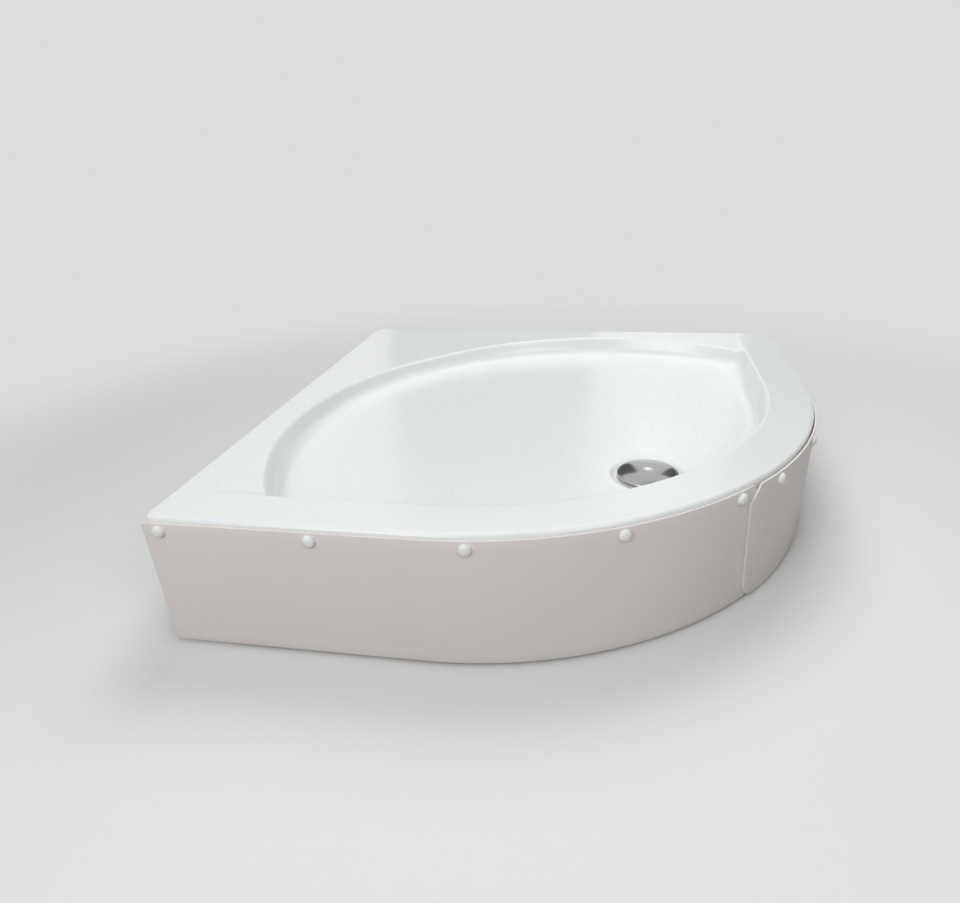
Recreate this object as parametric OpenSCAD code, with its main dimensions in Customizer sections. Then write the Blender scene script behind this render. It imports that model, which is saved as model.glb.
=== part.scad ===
// Corner shower tray with a quarter-round front, an acrylic shell on a steel frame with
// five screw feet, a clip-over drain cover with a lift-out dip tube, and a two-piece apron.
// Drawn about the centre of the square that the tray fills; up is +Z, the walls are at -X and +Y.

/* [Tray] */
// Length of each side that stands against a wall
tray_side = 900; // [860:5:960]
// Radius of the curved front
front_r = 550; // [520:5:580]
// Height of the rim's top above the floor
rim_z = 195; // [175:1:215]
// Thickness of the acrylic and its glass-fibre backing
shell_t = 4.5; // [3.5:0.25:5.5]
// Height of the turned-down lip
lip_h = 40; // [36:1:50]
// Rounding along the rim's outer edge
edge_r = 6; // [4:0.5:8]
// Rounding of the tray's upright corners
corner_r = 12; // [8:1:16]
// Width of the flat band along the front
band_w = 72; // [66:1:80]

/* [Back shelf] */
// Flat margin along the walls before the shelf starts to fall
shelf_margin = 14; // [10:1:20]
// Fall of the shelf towards the bowl, in mm per mm
shelf_fall = 0.03; // [0.02:0.005:0.04]
// Slope of the step between the shelf and the front band
step_slope = 0.45; // [0.3:0.05:0.6]

/* [Bowl] */
// Radius of the bowl's back edge
bowl_r = 504; // [480:2:520]
// Least distance from the bowl's edge to a wall
bowl_gap = 54; // [50:1:64]
// Depth of the floor beside the drain recess
bowl_depth = 46; // [42:1:50]
// Fall of the floor towards the drain, in mm per mm
floor_fall = 0.022; // [0.015:0.001:0.026]
// Lean of the bowl's wall from upright, in degrees
wall_lean = 15; // [10:1:20]
// Rounding of the bowl's top edge
brow_r = 7; // [5:0.5:9]
// Fillet between the bowl's wall and its floor
foot_r = 24; // [20:1:28]
// Length over which the bowl's two inner corners are blended at the floor
corner_blend = 120; // [60:10:140]

/* [Drain] */
// Distance from the band's inner edge to the drain's axis
drain_inset = 88; // [86:1:100]
// Radius of the recess round the drain
recess_r = 56; // [53:1:58]
// Depth of the recess
recess_depth = 5; // [4:0.5:6]
// Radius of the hole in the tray
hole_r = 31; // [30.5:0.5:34]
// Radius of the drain cover
cover_r = 45; // [42:0.5:48]
// Rise of the cover's dome
cover_rise = 6.5; // [5:0.5:9]
// Gap under the cover's edge that the water runs through
cover_gap = 5; // [4:0.5:7]
// Thickness of the cover's sheet
cover_t = 1.5; // [1:0.25:2]

/* [Trap] */
// Outer radius of the trap's bowl
trap_r = 40; // [38:0.5:44]
// Height of the trap below the tray
trap_h = 108; // [104:1:110]
// Wall of the trap
trap_wall = 3; // [2.5:0.25:4]
// Radius of the waste pipe that pushes into the outlet
pipe_r = 20; // [18:0.5:21]
// Length of the outlet from the trap's axis
outlet_len = 92; // [85:1:110]
// Outer radius of the dip tube
dip_r = 22; // [20:0.5:23]
// Thickness of the rubber gasket under the tray
gasket_t = 3; // [2:0.5:4]
// Thickness of the flange in the recess
flange_t = 2.5; // [2:0.25:3]
// Distance from the frame's underside down to the outlet's axis
outlet_drop = 31; // [31:1:35]

/* [Base and frame] */
// Width and height of the square steel tube
tube_w = 25; // [20:1:30]
// Wall of the steel tube
tube_wall = 1.5; // [1.25:0.25:3]
// Distance from the underside of the recess down to the top of the frame
frame_drop = 9.5; // [6.5:0.5:11.5]
// Distance from the bowl's edge to the edge of the board under it
board_inset = 48; // [44:1:70]
// Distance of the corner feet from the walls
foot_inset = 58; // [52:1:75]
// Distance between the drain's axis and each arm of the fork
fork_gap = 72; // [66:1:85]
// Distance from the front edge to the front foot
front_inset = 58; // [52:1:66]

/* [Feet] */
// Radius of the threaded rod
rod_r = 6; // [5:0.5:8]
// Radius of the foot's base
pad_r = 30; // [26:1:38]
// Height of the foot's base
pad_h = 22; // [20:1:26]
// How far each foot screws out from where it is drawn
foot_travel = 18; // [10:1:18]

/* [Apron] */
// Thickness of the apron's sheet
apron_t = 3; // [2:0.25:4]
// Gap between the apron and the floor
apron_lift = 5; // [2:0.5:8]
// Gap between the rim's top and the apron's top edge
apron_drop = 6.5; // [5:0.5:9]
// Length along the front to the joint between the two sheets
joint_s = 797; // [740:1:810]
// How far the joint leans over its height
joint_slant = 12; // [0:1:18]
// How far the long sheet runs on behind the short one
overlap = 34; // [28:1:40]
// Width of the cut corner at the joint
joint_cut = 20; // [14:1:24]
// Height of the cut corner at the joint
joint_cut_h = 26; // [18:1:34]
// Width of the notch left at the top of the joint
notch_w = 14; // [8:1:18]
// Radius of the bottom corner at the joint
joint_r = 28; // [18:1:34]

/* [Apron screws] */
// Distance from each end of the apron to its last screw
screw_end = 22; // [12:1:26]
// Number of screws along the long sheet
long_screws = 5; // [4:1:6]
// Number of screws along the short sheet
short_screws = 5; // [4:1:7]
// How far the long sheet's inner screws sit towards the joint
long_shift = 9; // [0:1:15]
// How far the short sheet's inner screws sit towards the joint
short_shift = 21; // [0:1:25]
// Distance from the joint back to the long sheet's last screw
joint_back = 17; // [5:1:20]
// Distance from the joint on to the short sheet's first screw
joint_on = 70; // [60:1:110]
// Distance from the apron's top edge down to the screws
screw_drop = 11.5; // [10.5:0.5:17]
// Radius of the screw's shank
screw_r = 2; // [1.75:0.25:2.5]
// Radius of the domed cap
cap_r = 9; // [8:0.5:10]
// Height of the domed cap
cap_h = 6.2; // [5.5:0.1:7.5]
// Thickness of the cap's wall
cap_t = 1; // [0.8:0.1:1.3]

/* [Hidden] */
$fn = 96;
seat = 0.3;          // clearance between curved or bent faces that touch on the real tray
slip = 0.15;         // clearance of a screwed or pushed-in part
turn_fit = 0.08;     // radial clearance of a part that turns in another
reach = 2 * tray_side;                             // size of the bodies that only cut
proud = seat + apron_t + slip + cap_h;             // how far the caps stand out past the tray
half = tray_side / 2;
arc_c = [half - front_r, front_r - half];          // centre of the curved front
inner = half - band_w;                             // the band's inner edge
front_in = front_r - band_w;                       // radius of the band's inner edge
bowl_c = [bowl_r - half + bowl_gap, half - bowl_gap - bowl_r];   // centre of the bowl's back edge
diagonal = [1, -1] / sqrt(2);                      // from the back corner to the front
drain_c = arc_c + (front_in - drain_inset) * diagonal;
drain_z = rim_z - bowl_depth;                      // floor at the recess's edge
recess_z = drain_z - recess_depth;
under_z = recess_z - shell_t;                      // underside of the recess
frame_z = under_z - frame_drop;                    // top of the frame
outlet_z = frame_z - tube_w - outlet_drop;         // axis of the trap's outlet
apron_top = rim_z - apron_drop;
screw_z = apron_top - screw_drop;
straight = half + arc_c[0];                        // straight stretch at each end of the front
front_len = 2 * straight + front_r * PI / 2;

// Everything is drawn about the tray's square and moved so that the whole stands centred
module place() { translate([-proud / 2, proud / 2, 0]) children(); }

// Plan of the tray, drawn smaller by an inset
module outline(inset) {
  h = half - inset;
  r = max(corner_r - inset, 1);
  intersection() {
    union() {
      square([2 * h, 2 * (h - r)], center = true);
      square([2 * (h - r), 2 * h], center = true);
      for (x = [-1, 1], y = [-1, 1]) translate([x, y] * (h - r)) circle(r);
    }
    union() {
      translate(arc_c) circle(front_r - inset, $fn = 192);
      translate([-reach, -reach]) square([reach + arc_c[0], 2 * reach]);
      translate([-reach, arc_c[1]]) square([2 * reach, reach]);
    }
  }
}

// A rectangle from the axis out to w with its top outer corner rounded
module edge_profile(w, h) {
  square([w - edge_r, h]);
  square([w, h - edge_r]);
  translate([w - edge_r, h - edge_r]) circle(edge_r);
}

// The same, mirrored to both sides
module slab_profile(w, h) {
  edge_profile(w, h);
  mirror([1, 0]) edge_profile(w, h);
}

// Outside of the shell before the bowl is formed
module blank() {
  corners = [[-1, -1], [-1, 1], [1, 1]];
  lip_z = rim_z - lip_h;
  r = max(corner_r, edge_r + 0.5);
  translate([0, 0, lip_z]) {
    difference() {
      intersection() {
        rotate([90, 0, 0]) linear_extrude(reach, center = true) slab_profile(half, lip_h);
        rotate([90, 0, 90]) linear_extrude(reach, center = true) slab_profile(half, lip_h);
        union() {
          translate(arc_c) rotate_extrude($fn = 192) edge_profile(front_r, lip_h);
          translate([-reach, -reach, -1]) cube([reach + arc_c[0], 2 * reach, lip_h + 2]);
          translate([-reach, arc_c[1], -1]) cube([2 * reach, reach, lip_h + 2]);
        }
      }
      for (c = corners) translate([c[0] * half, c[1] * half, 0])
        cube([2 * r, 2 * r, 3 * lip_h], center = true);
    }
    for (c = corners) translate([c[0] * (half - r), c[1] * (half - r), 0])
      rotate_extrude() edge_profile(r, lip_h);
  }
}

// The space over the shelf: it falls from both walls and rises again to the band
module shelf_space(drop) {
  w = half - shelf_margin;
  slopes = [[-w, 0], [-w, 60], [inner, 60], [inner, 0], [inner - step_run(w), -step_fall(w)]];
  translate([0, 0, rim_z - drop]) intersection() {
    rotate([90, 0, 0]) linear_extrude(reach, center = true) polygon(slopes);
    rotate([90, 0, -90]) linear_extrude(reach, center = true) polygon(slopes);
    translate([0, 0, -reach / 2]) linear_extrude(reach)
      polygon([[-half, -half], [-half / 2, -half], [half, half / 2], [half, half], [-half, half]]);
  }
}
// Where the two slopes of that space meet
function step_run(w) = shelf_fall * (w + inner) / (shelf_fall + step_slope);
function step_fall(w) = step_slope * step_run(w);
// Height of the shelf at a point of the plan
function shelf_z(p) = rim_z - max(0, min(
  shelf_fall * (p[0] + half - shelf_margin), shelf_fall * (half - shelf_margin - p[1]),
  step_slope * (p[1] + inner), step_slope * (inner - p[0])));

// The bowl is a loft about the drain. Each ray carries one profile of wall, fillet and floor,
// and the plan distance to the bowl's edge, drawn in by d, says where its points lie.
function unit(a) = [cos(a), sin(a)];
function ray_to_circle(u, c, r) = u * c + sqrt(pow(u * c, 2) - c * c + r * r);
function front_dist(u, d) =
  let (t = ray_to_circle(u, arc_c - drain_c, front_in - d), p = drain_c + t * u)
  p[1] > arc_c[1] ? (u[0] > 0 ? (inner - d - drain_c[0]) / u[0] : reach)
  : p[0] < arc_c[0] ? (u[1] < 0 ? (d - inner - drain_c[1]) / u[1] : reach) : t;
function back_dist(u, d) = ray_to_circle(u, bowl_c - drain_c, bowl_r - d);
function smooth_min(a, b, k) = let (h = max(k - abs(a - b), 0)) min(a, b) - h * h / (4 * max(k, 0.01));
function edge_dist(u, d) =
  smooth_min(front_dist(u, d), back_dist(u, d), corner_blend * min(1, max(0.04, d / foot_r)));
// Directions of the rays, closer together near the bowl's two corners
tip = [bowl_c[0] - sqrt(pow(bowl_r, 2) - pow(inner + bowl_c[1], 2)), -inner] - drain_c;
tip_a = atan2(tip[1], tip[0]) + 360 - 135;
rays = 44;
function eased(t) = 0.4 * t + 0.6 * sin(90 * t);
function ray_angles() = concat(
  [for (i = [0:rays - 1]) 135 + tip_a * eased(2 * i / rays - 1)],
  [for (i = [0:rays - 1]) 315 + (180 - tip_a) * eased(2 * i / rays - 1)]);
floor_a = atan(floor_fall);
// Where the floor meets the fillet: its distance from the edge, and its height
function floor_z(r) = drain_z + floor_fall * (r - recess_r);
function foot_d(top, z) =
  (top - z - foot_r * cos(floor_a) + foot_r * sin(wall_lean)) * tan(wall_lean)
  + foot_r * cos(wall_lean) - foot_r * sin(floor_a);
function bowl_profile(u, grow) =
  let (
    p = drain_c + edge_dist(u, 0) * u,
    top = front_dist(u, 0) < back_dist(u, 0) ? rim_z : shelf_z(p),
    d0 = foot_d(top, floor_z(edge_dist(u, foot_r))),
    z1 = floor_z(edge_dist(u, d0)),
    d1 = foot_d(top, z1),
    c = [d1 + foot_r * sin(floor_a), z1 + foot_r * cos(floor_a)],
    r = foot_r + grow,
    turn = 90 - floor_a - wall_lean,
    foot = [for (i = [0:6]) let (a = wall_lean + turn * (1 - i / 6)) c - r * unit(a)],
    b = [-brow_r * tan(45 - wall_lean / 2), top - brow_r],
    last = wall_lean + (90 - wall_lean) * 0.88,
    brow = [for (i = [0:4]) let (a = wall_lean + (last - wall_lean) * i / 4) b + brow_r * unit(a)],
    rise = top + 0.6 - brow[4][1],
    over = [brow[4] + [-rise * tan(last), rise], [brow[4][0] - rise * tan(last), rim_z + 12]],
    wall = [[shell_t / 2 * tan(wall_lean) - grow / cos(wall_lean), top - shell_t / 2]]
  ) grow == 0 ? concat(foot, brow, over) : concat(foot, wall);
module bowl(grow) {
  start = recess_r - 6;
  angles = ray_angles();
  n = len(angles);
  rings = [for (a = angles) let (u = unit(a), q = bowl_profile(u, grow))
    concat([[start, floor_z(start) - grow]], [for (k = q) [edge_dist(u, k[0]), k[1]]])];
  m = len(rings[0]);
  points = concat([for (j = [0:m - 1], i = [0:n - 1])
    concat(drain_c + rings[i][j][0] * unit(angles[i]), rings[i][j][1])],
    [concat(drain_c, floor_z(start) - grow),
     concat(drain_c, grow == 0 ? rim_z + 12 : rim_z - shell_t / 2)]);
  sides = [for (j = [0:m - 2], i = [0:n - 1]) let (k = (i + 1) % n)
    each [[j * n + i, (j + 1) * n + i, (j + 1) * n + k], [j * n + i, (j + 1) * n + k, j * n + k]]];
  caps = [for (i = [0:n - 1]) let (k = (i + 1) % n, t = (m - 1) * n)
    each [[m * n, i, k], [m * n + 1, t + k, t + i]]];
  polyhedron(points, concat(sides, caps));
}
module at_drain() { translate(drain_c) children(); }

// The front is measured as a length along the curve, from the left end to the right one
function front_angle(s) = -90 + (s - straight) / front_r * 180 / PI;
function side_run(s) = s - straight - front_r * PI / 2;
// The short sheet bends about a centre that is moved so that it laps over the long one
lap_a = front_angle(joint_s + overlap);
lap_shift = (apron_t + slip) / sin(-lap_a);
function sheet_inner(s) = s < joint_s ? front_r + seat
  : ray_to_circle(unit(front_angle(s)), [0, -lap_shift], front_r + seat);
// Stands its children on the front at length s, with +X along it, +Y inwards and +Z up;
// out is the distance from the tray's edge to where they stand
module on_front(s, out) {
  if (s <= straight) translate([s - half, -half - out, 0]) children();
  else if (side_run(s) >= 0) translate([half + out, arc_c[1] + side_run(s), 0]) rotate(90) children();
  else translate(arc_c) rotate(front_angle(s) + 90) translate([0, -front_r - out, 0]) children();
}
function sheet_out(s) = apron_t + (s <= straight || side_run(s) >= 0 ? seat : sheet_inner(s) - front_r);
long_step = (joint_s - joint_back - screw_end) / (long_screws - 1);
short_step = (front_len - screw_end - joint_s - joint_on) / (short_screws - 1);
function is_inner(i, count) = i > 0 && i < count - 1;
screws_s = concat(
  [for (i = [0:long_screws - 1])
    screw_end + i * long_step + (is_inner(i, long_screws) ? long_shift : 0)],
  [for (i = [0:short_screws - 1])
    joint_s + joint_on + i * short_step - (is_inner(i, short_screws) ? short_shift : 0)]);
screw_len = 24;
// The short sheet bends about its own centre, so it faces a little off the front's direction
function sheet_lean(s) = s < joint_s || side_run(s) >= 0 ? 0
  : asin(lap_shift * cos(front_angle(s)) / (front_r + seat + apron_t));
// Each of the apron's screw places, seen from its outer face
module at_screws() {
  for (s = screws_s) on_front(s, sheet_out(s)) rotate(sheet_lean(s))
    translate([0, 0, screw_z]) rotate([-90, 0, 0]) children();
}
module screw_holes() {
  at_screws() translate([0, 0, -10]) cylinder(r = screw_r + slip, h = screw_len + 14);
}

module tray_shell() {
  color("white") place() difference() {
    union() {
      difference() {
        blank();
        difference() {
          translate([0, 0, rim_z - lip_h - 5]) linear_extrude(lip_h + 5 - shell_t) outline(shell_t);
          shelf_space(shell_t);
        }
      }
      bowl(shell_t);
      at_drain() translate([0, 0, under_z]) cylinder(r = recess_r + shell_t, h = recess_depth + 2, $fn = 144);
    }
    shelf_space(0);
    bowl(0);
    at_drain() translate([0, 0, recess_z]) cylinder(r = recess_r, h = 3 * recess_depth, $fn = 144);
    at_drain() translate([0, 0, under_z - 5]) cylinder(r = hole_r, h = 3 * recess_depth + shell_t);
    screw_holes();
  }
}

// Base and frame are drawn along the diagonal: +X runs to the front, +Y to the right end
foot_z = frame_z - tube_w;                         // underside of the frame
corner_run = (half - foot_inset) * sqrt(2);        // from the middle to a corner foot
rail_end = 30;                                     // how far a rail runs on past its foot
drain_x = drain_c * diagonal;
front_x = arc_c * diagonal + front_r - front_inset;
front_half = fork_gap + 35;
feet = [[0, -corner_run], [0, corner_run], [-corner_run, 0], [0, 0], [front_x, 0]];
board_hole = recess_r + shell_t + 1.5;
board_screws = [[0, -300], [0, -130], [0, 130], [0, 300], [-220, 0], [110, -fork_gap], [110, fork_gap]];
module along_diagonal() { rotate(-45) children(); }

module base_board() {
  color("burlywood") place() difference() {
    intersection() {
      translate([0, 0, frame_z]) linear_extrude(shell_t + recess_depth + 30) board_outline();
      at_drain() rotate_extrude($fn = 192) polygon([
        [board_hole, frame_z], [reach / 2, frame_z],
        [reach / 2, floor_z(reach / 2) - shell_t - seat],
        [board_hole, floor_z(board_hole) - shell_t - seat]]);
    }
    along_diagonal() screw_shafts(board_screws);
  }
}
module board_outline() {
  intersection() {
    translate(bowl_c) circle(bowl_r - board_inset, $fn = 192);
    union() {
      translate(arc_c) circle(front_in - board_inset, $fn = 192);
      translate([-reach, -inner + board_inset]) square([reach + arc_c[0], reach]);
      translate([-reach, arc_c[1]]) square([reach + inner - board_inset, reach]);
    }
  }
}

// Wooden blocks that stand on the ends of the rails and carry the rim's corners
module corner_blocks() {
  color("tan") place() difference() {
    along_diagonal() for (f = [feet[0], feet[1], feet[2]])
      translate([f[0], f[1], frame_z]) rotate(f[0] == 0 ? 90 : 0) translate([-25, -18, 0])
        cube([50, 36, rim_z - shell_t - seat - frame_z]);
    shelf_space(shell_t + seat);
    along_diagonal() block_shafts();
  }
}
module block_shafts() {
  for (f = [feet[0], feet[1], feet[2]]) translate([f[0], f[1], foot_z - 1]) block_screw_at(f)
    cylinder(r = wood_r + slip, h = tube_w + 23);
}
module block_screw_at(f) { rotate(f[0] == 0 ? 90 : 0) translate([f[1] > 0 ? -18 : 18, 0, 0]) children(); }

module square_tube(length) {
  difference() {
    translate([0, 0, tube_w / 2]) cube([length, tube_w, tube_w], center = true);
    translate([0, 0, tube_w / 2])
      cube([length + 2, tube_w - 2 * tube_wall, tube_w - 2 * tube_wall], center = true);
  }
}
wood_r = 2.5;
module screw_shafts(places) {
  for (p = places) translate([p[0], p[1], foot_z - 1]) cylinder(r = wood_r + slip, h = tube_w + 11);
}
module rod_holes() {
  for (f = feet) translate([f[0], f[1], foot_z - 1]) cylinder(r = rod_r + 0.5, h = tube_wall + 2);
}
module rail(length, x, y, turn) {
  color("silver") place() along_diagonal() difference() {
    translate([x, y, foot_z]) rotate(turn) square_tube(length);
    rod_holes();
    screw_shafts(board_screws);
    block_shafts();
  }
}
module long_rail() { rail(2 * (corner_run + rail_end), 0, 0, 90); }
back_len = corner_run + rail_end - tube_w / 2;
module back_rail() { rail(back_len, -tube_w / 2 - back_len / 2, 0, 0); }
fork_len = front_x - tube_w;
module fork_rail_left() { rail(fork_len, front_x / 2, -fork_gap, 0); }
module fork_rail_right() { rail(fork_len, front_x / 2, fork_gap, 0); }
module front_rail() { rail(2 * front_half, front_x, 0, 90); }

// Plastic plugs in the open ends of the tubes
module plug() {
  b = tube_w - 2 * tube_wall - 2 * slip;
  translate([-10, -b / 2, tube_wall + slip]) cube([10, b, b]);
  difference() {
    translate([0, -tube_w / 2, 0]) cube([3, tube_w, tube_w]);
    for (y = [-1, 1], z = [0, 1]) translate([3, y * tube_w / 2, z * tube_w]) rotate([0, 0, 0])
      sphere(2);
  }
}
module tube_plugs() {
  color("dimgray") place() along_diagonal() {
    for (y = [-1, 1]) translate([0, y * (corner_run + rail_end), foot_z]) rotate(y * 90) plug();
    translate([-corner_run - rail_end, 0, foot_z]) rotate(180) plug();
    for (y = [-1, 1]) translate([front_x, y * front_half, foot_z]) rotate(y * 90) plug();
  }
}

nut_flats = 3.1 * rod_r;
weld_h = 10;
lock_h = 7;
module hex_nut(h) {
  difference() {
    intersection() {
      cylinder(r = nut_flats / sqrt(3), h = h, $fn = 6);
      cylinder(r1 = nut_flats / 2 + 0.3, r2 = nut_flats / 2 + 0.3 + h, h = h);
      cylinder(r1 = nut_flats / 2 + 0.3 + h, r2 = nut_flats / 2 + 0.3, h = h);
    }
    translate([0, 0, -1]) cylinder(r = rod_r + turn_fit, h = h + 2);
  }
}
module at_feet() { along_diagonal() for (f = feet) translate([f[0], f[1], 0]) children(); }
module weld_nuts() {
  color("gray") place() at_feet() translate([0, 0, foot_z - weld_h]) hex_nut(weld_h);
}
module lock_nuts() {
  color("silver") place() at_feet() translate([0, 0, foot_z - weld_h - lock_h]) hex_nut(lock_h);
}

// Pan-headed screws up through the rails into the board and the blocks
module wood_screw(length) {
  cylinder(r = wood_r, h = length);
  intersection() {
    translate([0, 0, 2.6]) sphere(r = 5.6);
    translate([0, 0, -6]) cylinder(r = 4.8, h = 6);
  }
}
module frame_screws() {
  color("silver") place() along_diagonal() {
    for (p = board_screws) translate([p[0], p[1], foot_z]) wood_screw(tube_w + 9);
    for (f = [feet[0], feet[1], feet[2]]) translate([f[0], f[1], foot_z]) block_screw_at(f)
      wood_screw(tube_w + 21);
  }
}

// Each foot is a threaded rod that turns in its base and screws through the frame's nut
socket_z = 6;
hub_r = 1.8 * rod_r;
module foot_rod(i) {
  color("silver") place() along_diagonal() translate([feet[i][0], feet[i][1], 0]) {
    top = frame_z - tube_wall - 1.5;
    translate([0, 0, socket_z]) cylinder(r1 = rod_r - 1, r2 = rod_r, h = 1);
    translate([0, 0, socket_z + 1]) cylinder(r = rod_r, h = top - socket_z - 2);
    translate([0, 0, top - 1]) cylinder(r1 = rod_r, r2 = rod_r - 1, h = 1);
  }
}
module foot_pad(i) {
  color("dimgray") place() along_diagonal() translate([feet[i][0], feet[i][1], 0]) difference() {
    union() {
      rotate_extrude() polygon([[0, 0], [pad_r - 1, 0], [pad_r, 1], [pad_r, 4], [pad_r - 1, 5],
        [hub_r + 2, 6], [hub_r, 8], [hub_r, pad_h - 1], [hub_r - 1, pad_h], [0, pad_h]]);
      for (a = [0:60:300]) rotate(a) rotate([90, 0, 0]) linear_extrude(2.4, center = true)
        polygon([[hub_r - 1, 3], [pad_r - 3, 3], [pad_r - 3, 6],
          [hub_r + 1, pad_h - 3], [hub_r - 1, pad_h - 3]]);
    }
    translate([0, 0, socket_z]) cylinder(r = rod_r + turn_fit, h = pad_h);
  }
}
module foot_rod_1() { foot_rod(0); }
module foot_rod_2() { foot_rod(1); }
module foot_rod_3() { foot_rod(2); }
module foot_rod_4() { foot_rod(3); }
module foot_rod_5() { foot_rod(4); }
module foot_pad_1() { foot_pad(0); }
module foot_pad_2() { foot_pad(1); }
module foot_pad_3() { foot_pad(2); }
module foot_pad_4() { foot_pad(3); }
module foot_pad_5() { foot_pad(4); }

apron_h = apron_top - apron_lift;
// Cuts the plan into the part of the front that lies past length s
module past(s) {
  on_front(s, 0) translate([0, -reach / 2, -1]) cube([reach / 4, reach, 2 * rim_z]);
}
module bent_sheet(shift) {
  c = arc_c + [0, -shift];
  r = front_r + seat;
  translate([c[0], c[1], apron_lift]) linear_extrude(apron_h) difference() {
    intersection() {
      circle(r + apron_t, $fn = 192);
      translate([0, -reach]) square(reach);
    }
    circle(r, $fn = 192);
  }
}
// The long sheet ends behind the short one; this is the top corner that is cut off it
module long_corner() {
  cut = joint_cut - notch_w;
  slope = joint_cut_h / (overlap - cut);
  end = overlap + 12;
  polygon([[cut - 5 / slope, apron_h + 5], [end, apron_h - slope * (end - cut)], [end, apron_h + 5]]);
}
// The short sheet starts with a cut corner, a leaning edge and a rounded foot
module short_end() {
  low = joint_r - 1;
  slope = joint_cut / joint_cut_h;
  polygon([[joint_cut + 5 * slope, apron_h + 5], [0, apron_h - joint_cut_h], [joint_slant, low],
    [joint_slant + joint_r, -1], [120, -1], [120, apron_h + 5]]);
  intersection() {
    translate([joint_slant + joint_r, low]) circle(joint_r);
    translate([0, -1]) square([joint_slant + joint_r, joint_r]);
  }
}
module end_prism() {
  on_front(joint_s, 0) translate([0, 20, apron_lift]) rotate([90, 0, 0]) linear_extrude(60) children();
}
module apron_long() {
  color("gainsboro") place() difference() {
    union() {
      translate([-half, -half - seat - apron_t, apron_lift]) cube([straight, apron_t, apron_h]);
      difference() {
        bent_sheet(0);
        past(joint_s + overlap);
      }
    }
    end_prism() long_corner();
    screw_holes();
  }
}
module apron_short() {
  color("whitesmoke") place() difference() {
    union() {
      translate([half + seat, arc_c[1] - lap_shift, apron_lift])
        cube([apron_t, straight + lap_shift, apron_h]);
      intersection() {
        bent_sheet(lap_shift);
        past(joint_s - 6);
      }
    }
    end_prism() difference() {
      translate([-20, -3]) square([100, apron_h + 6]);
      short_end();
    }
    screw_holes();
  }
}

// Blocks of wood behind the lip that the apron is screwed to
module rim_blocks() {
  color("tan") place() difference() {
    intersection() {
      for (s = screws_s) on_front(s, 0) translate([-18, 0, rim_z - lip_h + 4])
        cube([36, shell_t + seat + 18, lip_h - shell_t - 8]);
      linear_extrude(rim_z) outline(shell_t + seat);
    }
    screw_holes();
  }
}
washer_t = 1.4;
washer_r = cap_r - cap_t - 0.3;
module apron_screws() {
  color("silver") place() at_screws() translate([0, 0, -washer_t]) {
    cylinder(r = screw_r, h = screw_len);
    intersection() {
      translate([0, 0, 2.3]) sphere(r = 4.6);
      translate([0, 0, -4]) cylinder(r = 3.8, h = 4);
    }
  }
}
module cap_washers() {
  color("white") place() at_screws() translate([0, 0, -washer_t]) difference() {
    cylinder(r = washer_r, h = washer_t);
    translate([0, 0, -1]) cylinder(r = screw_r + slip, h = washer_t + 2);
  }
}
dome_r = (cap_r * cap_r + cap_h * cap_h) / (2 * cap_h);
module screw_caps() {
  color("white") place() at_screws() translate([0, 0, -slip]) difference() {
    intersection() {
      translate([0, 0, dome_r - cap_h]) sphere(dome_r);
      translate([0, 0, -cap_h - 1]) cylinder(r = cap_r, h = cap_h + 1);
    }
    intersection() {
      translate([0, 0, dome_r - cap_h]) sphere(dome_r - cap_t);
      translate([0, 0, -cap_h - 1]) cylinder(r = washer_r + slip, h = cap_h + 2);
    }
    translate([0, 0, -washer_t - slip]) cylinder(r = washer_r + slip, h = washer_t + 2 * slip);
  }
}

// The waste stands about the drain's axis
trap_z = under_z - gasket_t;                       // top of the trap
trap_low = trap_z - trap_h;
flange_r = cover_r - 3;
thread_r = hole_r - 0.5;
neck_h = 16;
ledge_r = dip_r + seat;
collar_r = dip_r + 3.6;
module waste_flange() {
  z = trap_z - neck_h + 2;
  color("lightgray") place() at_drain() rotate_extrude() polygon([
    [ledge_r, z], [thread_r, z], [thread_r, recess_z], [flange_r, recess_z],
    [flange_r, recess_z + flange_t - 1], [flange_r - 1, recess_z + flange_t],
    [collar_r + 1.4, recess_z + flange_t], [collar_r + seat, recess_z + flange_t - 1.1],
    [collar_r + seat, z + 2.5], [ledge_r, z + 2.5]]);
}
module waste_gasket() {
  color("black") place() at_drain() translate([0, 0, trap_z]) difference() {
    cylinder(r = trap_r, h = gasket_t);
    translate([0, 0, -1]) cylinder(r = hole_r, h = gasket_t + 2);
  }
}
socket_r = pipe_r + 3.2;
socket_h = 30;
nut_h = 22;
seal_t = 4;
lip_t = 3;
seal_x = outlet_len - lip_t - seal_t;              // where the outlet's socket ends
// The outlet points to the left wall, low enough for its pipe to pass under the frame
module along_outlet() { at_drain() translate([0, 0, outlet_z]) rotate([0, -90, 0]) children(); }
module trap_body() {
  color("gray") place() difference() {
    union() {
      at_drain() rotate_extrude() polygon([
        [0, trap_low], [trap_r - 14, trap_low], [trap_r - 4, trap_low + 4], [trap_r, trap_low + 14],
        [trap_r, trap_z], [0, trap_z]]);
      along_outlet() cylinder(r = socket_r, h = seal_x);
    }
    at_drain() rotate_extrude() polygon([
      [0, trap_low + trap_wall], [trap_r - 15, trap_low + trap_wall],
      [trap_r - 4 - trap_wall, trap_low + 5 + trap_wall / 2], [trap_r - trap_wall, trap_low + 15],
      [trap_r - trap_wall, trap_z - neck_h - 6], [thread_r + slip, trap_z - neck_h],
      [thread_r + slip, trap_z + 1], [0, trap_z + 1]]);
    along_outlet() cylinder(r = pipe_r - 3, h = outlet_len);
    along_outlet() translate([0, 0, seal_x - socket_h]) cylinder(r = pipe_r + slip, h = outlet_len);
  }
}
module outlet_seal() {
  color("black") place() along_outlet() translate([0, 0, seal_x]) difference() {
    cylinder(r = socket_r - 0.4, h = seal_t);
    translate([0, 0, -1]) cylinder(r = pipe_r + slip, h = seal_t + 2);
  }
}
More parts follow.
